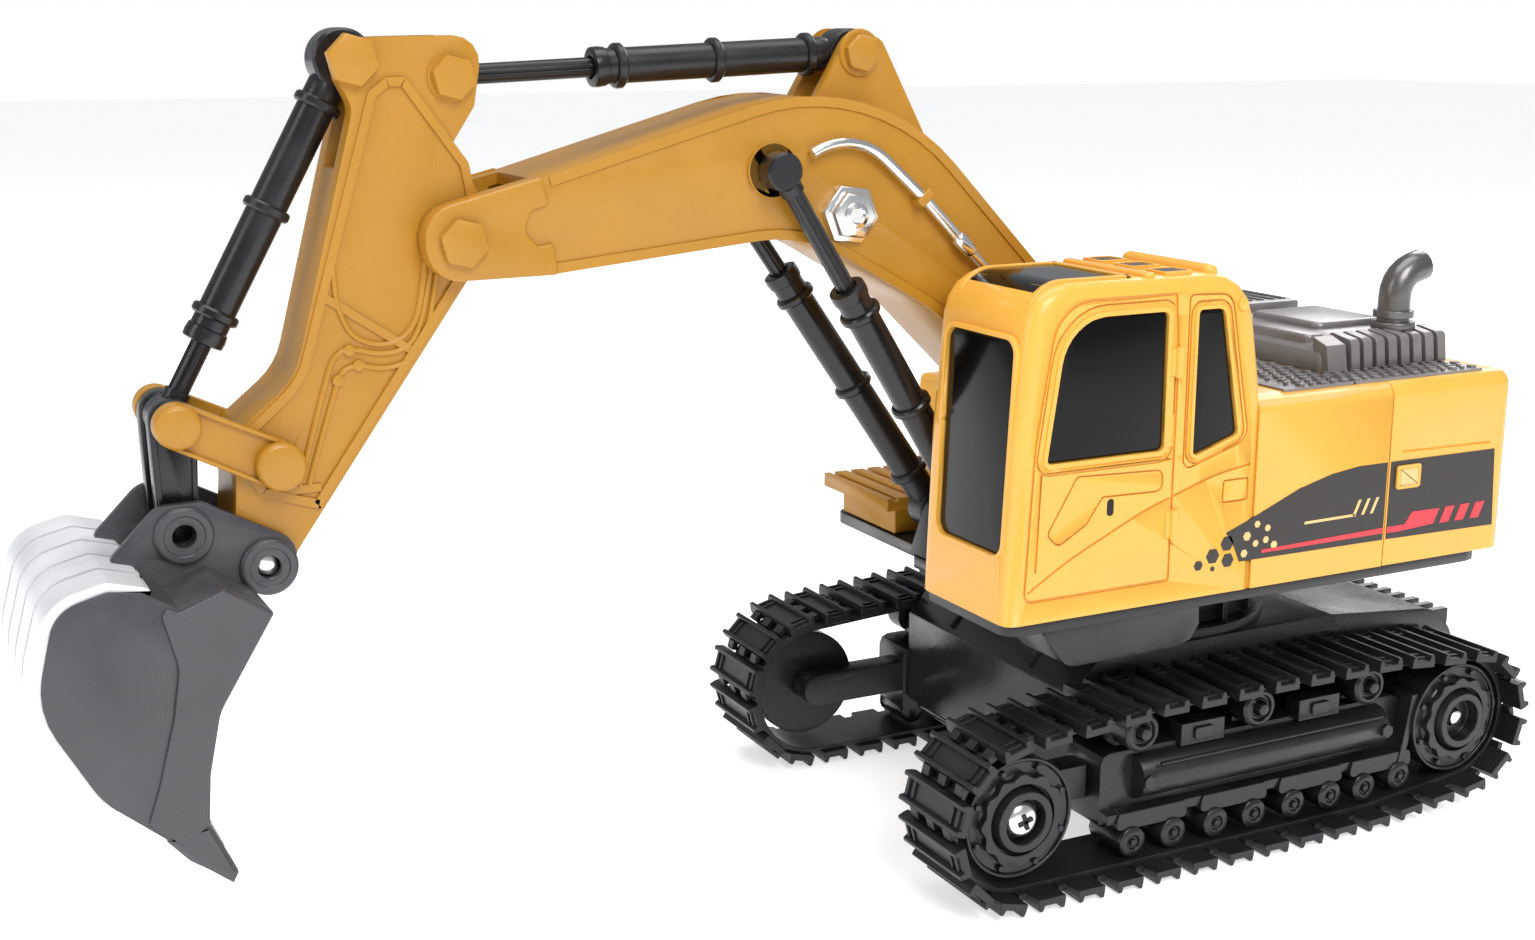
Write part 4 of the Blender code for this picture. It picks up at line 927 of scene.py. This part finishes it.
def pressure_lines():
    """Three moulded lines on each side of the stick, with round joints."""
    solids = []
    routes = (((162.1, 116.4), (161.9, 112.0), (161.2, 108.6), (159.5, 105.3), (156.4, 103.6), (153.2, 103.5),
               (150.6, 104.9), (148.7, 108.0), (147.4, 114.2), (147.1, 117.0)),
              ((145.9, 117.0), (147.5, 109.5), (149.0, 104.9), (151.2, 102.5), (154.9, 101.9), (160.0, 102.9),
               (162.0, 102.2), (163.2, 100.6), (164.6, 96.5), (168.4, 84.2), (169.2, 81.4)),
              ((144.8, 116.8), (146.6, 107.8), (148.2, 102.9), (150.5, 100.4), (154.6, 99.5), (158.7, 100.2),
               (160.9, 99.7), (162.1, 98.2), (163.2, 95.0), (166.9, 84.1), (167.6, 81.4)))
    y = STICK_HALF + 0.1
    joint = [(0, y - 0.3), (1.0, y - 0.3), (0.9, y + 0.6), (0, y + 0.8)]
    for side in (1, -1):
        for route in routes:
            solids.append(tube(smooth_route([(x, side * y, z) for x, z in route], 6), 0.5, 10))
        for spot in ((160.2, 102.8), (158.8, 100.3), (162.2, 98.1)):
            solids.append(turned_out(joint, spot, side, 20))
    add("pressure_lines", solids, "stick", MUSTARD, 0.0)


def linkage():
    """Two rocker links with round heads, their spacers, and the push link down to the bucket."""
    for side, label in SIDES:
        outline = slot(ROCKER_FOOT, ROCKER_TIP, 3.9, 3.6)
        solids = [prism(outline, *span(side, 7.3, 8.6)), rim(outline, 0.7, *span(side, 8.4, 9.5))]
        for centre, radius in ((ROCKER_FOOT, 3.9), (ROCKER_TIP, 3.5)):
            solids.append(pillow(circle(centre, radius), side * 8.4, side * 11.2, 0.8))
        solids.append(peg(ROCKER_TIP, 1.6, *span(side, 2.9, 8.0)))
        add("rocker_" + label, solids, "rocker", MUSTARD, 0.2, ["rocker_link_" + label])
    dress(STEEL, "rocker_foot_pin", "bucket_pin", edge=0.1)
    spacer = [(1.7, 5.95), (3.2, 5.95), (3.2, 7.1), (1.7, 7.1)]
    spacers = [turned_out(spacer, ROCKER_TIP, side) for side in (1, -1)]
    add("rocker_spacers", spacers, "rocker", BLACK, 0.15)
    dress(BLACK, "push_link", edge=0.35)
    outline = slot(ROCKER_TIP, LINK_FOOT, 3.4, 2.8)
    ribs = [rim(outline, 0.7, *span(side, 5.6, 6.3)) for side in (1, -1)]
    add("push_link_rims", ribs, "push_link", BLACK, 0.15)


def bucket():
    """Dark bucket with five bright bands over its back, stepped side plates and ringed ears."""
    dress(BUCKET, "bucket", edge=0.3)
    back = corner_outline(((195.6, 71.0, 1), (201.5, 72.6, 3), (209.0, 70.5, 6), (212.6, 56.0, 14),
                           (205.2, 42.6, 8), (202.6, 38.6, 0), (203.2, 38.2, 0), (206.4, 41.0, 8),
                           (214.4, 56.0, 15), (210.0, 71.9, 7), (201.5, 74.0, 3), (195.0, 72.2, 1)), 8)
    width, gap = 2 * BUCKET_HALF / 5, 1.1
    bands = [prism(back, -BUCKET_HALF + width * k + gap / 2, -BUCKET_HALF + width * (k + 1) - gap / 2)
             for k in range(5)]
    add("bucket_bands", bands, "bucket", BAND, 0.35)
    cutter = corner_outline(((177.9, 66.2, 0.5), (186.9, 51.7, 8), (189.0, 42.0, 0), (189.8, 33.9, 0),
                             (193.3, 31.4, 0), (198.3, 36.0, 0), (196.4, 41.4, 6), (193.5, 52.0, 12),
                             (192.2, 59.7, 8), (194.6, 69.6, 1), (191.6, 68.4, 0), (184.9, 70.9, 0)), 5)
    plates = [prism(cutter, *span(side, BUCKET_HALF - 0.3, BUCKET_HALF + 0.7)) for side in (1, -1)]
    add("bucket_side_cutters", plates, "bucket", BUCKET, 0.3)
    ring = [(1.9, 9.0), (4.6, 9.0), (4.6, 10.0), (4.2, 10.4), (3.2, 10.4), (2.9, 9.9), (1.9, 9.9)]
    rings = [turned_out(ring, centre, side) for side in (1, -1) for centre in (LINK_FOOT, BUCKET_PIVOT)]
    add("bucket_bosses", rings, "bucket", BUCKET, 0.15)
    tooth = corner_outline(((194.2, 36.2, 0.3), (189.2, 33.9, 0.3), (185.5, 25.6, 0), (186.4, 24.0, 0),
                            (192.6, 28.6, 0), (195.8, 32.4, 0.3)), 2)
    point = inset(tooth, 0.7)
    teeth = [loft([(point, y - 2.9), (tooth, y - 2.3), (tooth, y + 2.3), (point, y + 2.9)])
             for y in (-20.4, -10.2, 0, 10.2, 20.4)]
    add("bucket_teeth", teeth, "bucket", BUCKET, 0.2)


def cylinder(label, start, end, length, eye, rod_eye):
    """Barrel with three ribbed collars and a fluted gland, and a rod with fine grooves.

    length is the barrel's. eye and rod_eye are half the widths of the two eyes.
    """
    start, end = Vector(start), Vector(end)
    profile = [(0, 3.4), (2.6, 3.4), (3.0, 4.6), (3.0, 6.0)]
    for share in (0.16, 0.53, 0.90):
        z = length * share
        profile += [(3.0, z - 0.9), (3.5, z - 0.8), (3.8, z - 0.45), (3.8, z + 0.45), (3.5, z + 0.8),
                    (3.0, z + 0.9)]
    profile += [(3.0, length - 2.6), (3.25, length - 2.4), (3.4, length - 1.2), (3.3, length - 0.2),
                (2.9, length), (2.0, length), (2.0, 8.0), (0, 8.0)]
    barrel = aimed(turned(profile, (0, 0), 'Z', 40), start, end)
    low, high = start.y - eye, start.y + eye
    bulk = 4.9 if label == "curl" else 4.2
    eye_ring = turned([(1.9, low), (bulk - 0.4, low), (bulk, low + 0.4), (bulk, high - 0.4),
                       (bulk - 0.4, high), (1.9, high)], (start.x, start.z))
    neck = aimed(peg((0, 0), 2.4, 2.6, 5.0, 'Z', 24), start, end)
    add(label + "_tube", [barrel, eye_ring, neck], label + "_barrel", BLACK, 0.0, [label + "_barrel"])
    reach = (end - start).length
    stem_low = reach - (46 if label != "arm" else 54)
    fluted = circle((0, 0), [1.68 if k % 6 < 4 else 1.42 for k in range(48)])
    stem = aimed(prism(fluted, stem_low, reach - 1.0, 'Z'), start, end)
    low, high = end.y - rod_eye, end.y + rod_eye
    cap = turned([(0, low), (2.9, low), (3.3, low + 0.4), (3.3, high - 0.4), (2.9, high), (0, high)],
                 (end.x, end.z))
    low, high = reach - 4.4, reach - 1.5
    collar = aimed(turned([(0, low), (2.1, low), (2.1, high), (0, high)], (0, 0), 'Z', 32), start, end)
    add(label + "_piston", [stem, cap, collar], label + "_rod", BLACK, 0.0, [label + "_rod"])


def front_end():
    boom()
    stick()
    linkage()
    bucket()
    for side, label in ((1, "lift_left"), (-1, "lift_right")):
        foot, eye = (LIFT_FOOT[0], side * 8.5, LIFT_FOOT[1]), (LIFT_EYE[0], side * 14.6, LIFT_EYE[1])
        cylinder(label, foot, eye, 58.0, 2.6, 2.0)
    cylinder("arm", (ARM_EAR[0], 0, ARM_EAR[1]), (ARM_EYE[0], 0, ARM_EYE[1]), 48.5, 2.9, 2.8)
    cylinder("curl", (CURL_EAR[0], 0, CURL_EAR[1]), (ROCKER_TIP[0], 0, ROCKER_TIP[1]), 49.5, 2.9, 2.2)


# ---------------------------------------------------------------- studio

def studio():
    floor_mesh = bpy.data.meshes.new("floor")
    solid = bmesh.new()
    bmesh.ops.create_grid(solid, x_segments=1, y_segments=1, size=4.0)
    solid.to_mesh(floor_mesh)
    solid.free()
    floor = bpy.data.objects.new("floor", floor_mesh)
    floor.location = (0, 0, -0.0002)
    bpy.context.scene.collection.objects.link(floor)
    pale = surface("floor_pale", (0.90, 0.90, 0.90), 0.6, grain=0.02, mottle=0.01, mottle_size=200.0)
    shader = pale.node_tree.nodes["Principled BSDF"]
    shader.inputs["Emission Color"].default_value = (1, 1, 1, 1)
    shader.inputs["Emission Strength"].default_value = 0.58
    floor_mesh.materials.append(pale)

    world = bpy.data.worlds.new("studio")
    world.use_nodes = True
    nodes, links = world.node_tree.nodes, world.node_tree.links
    dim = nodes["Background"]
    dim.inputs["Color"].default_value = (0.95, 0.97, 1.0, 1)
    dim.inputs["Strength"].default_value = 0.40
    bright = nodes.new("ShaderNodeBackground")
    bright.inputs["Color"].default_value = (1, 1, 1, 1)
    bright.inputs["Strength"].default_value = 1.0
    rays = nodes.new("ShaderNodeLightPath")
    both = nodes.new("ShaderNodeMixShader")
    links.new(rays.outputs["Is Camera Ray"], both.inputs[0])
    links.new(dim.outputs[0], both.inputs[1])
    links.new(bright.outputs[0], both.inputs[2])
    links.new(both.outputs[0], nodes["World Output"].inputs["Surface"])
    bpy.context.scene.world = world
    bpy.context.scene.view_settings.view_transform = 'Standard'

    def area(name, place, target, size, power):
        light = bpy.data.lights.new(name, 'AREA')
        light.shape = 'RECTANGLE'
        light.size, light.size_y = size
        light.energy = power
        obj = bpy.data.objects.new(name, light)
        obj.location = place
        obj.rotation_euler = (Vector(target) - Vector(place)).to_track_quat('-Z', 'Y').to_euler()
        bpy.context.scene.collection.objects.link(obj)

    area("key", (0.05, 0.80, 0.75), (-0.02, 0, 0.07), (0.5, 0.5), 6.5)
    area("top", (0.0, 0.0, 1.0), (0, 0, 0.05), (0.9, 0.6), 5)
    area("front", (0.9, 0.1, 0.45), (0, 0, 0.07), (0.3, 0.6), 1.4)
    area("rear", (-0.8, -0.5, 0.6), (0, 0, 0.08), (0.4, 0.6), 3)

    azimuth, pitch = math.radians(62.96), math.radians(13.13)
    level = math.cos(pitch)
    view = -Vector((math.cos(azimuth) * level, math.sin(azimuth) * level, math.sin(pitch)))
    lens = bpy.data.cameras.new("camera")
    lens.lens = 36 * 1904.12 / 1535
    lens.clip_start = 0.01
    camera = bpy.data.objects.new("camera", lens)
    camera.location = Vector((236.7 + SLEW_X, 303.2, 152.9)) * MM
    camera.rotation_euler = view.to_track_quat('-Z', 'Y').to_euler()
    bpy.context.scene.collection.objects.link(camera)
    bpy.context.scene.camera = camera


undercarriage()
upper_works()
front_end()
studio()
bpy.context.view_layer.update()
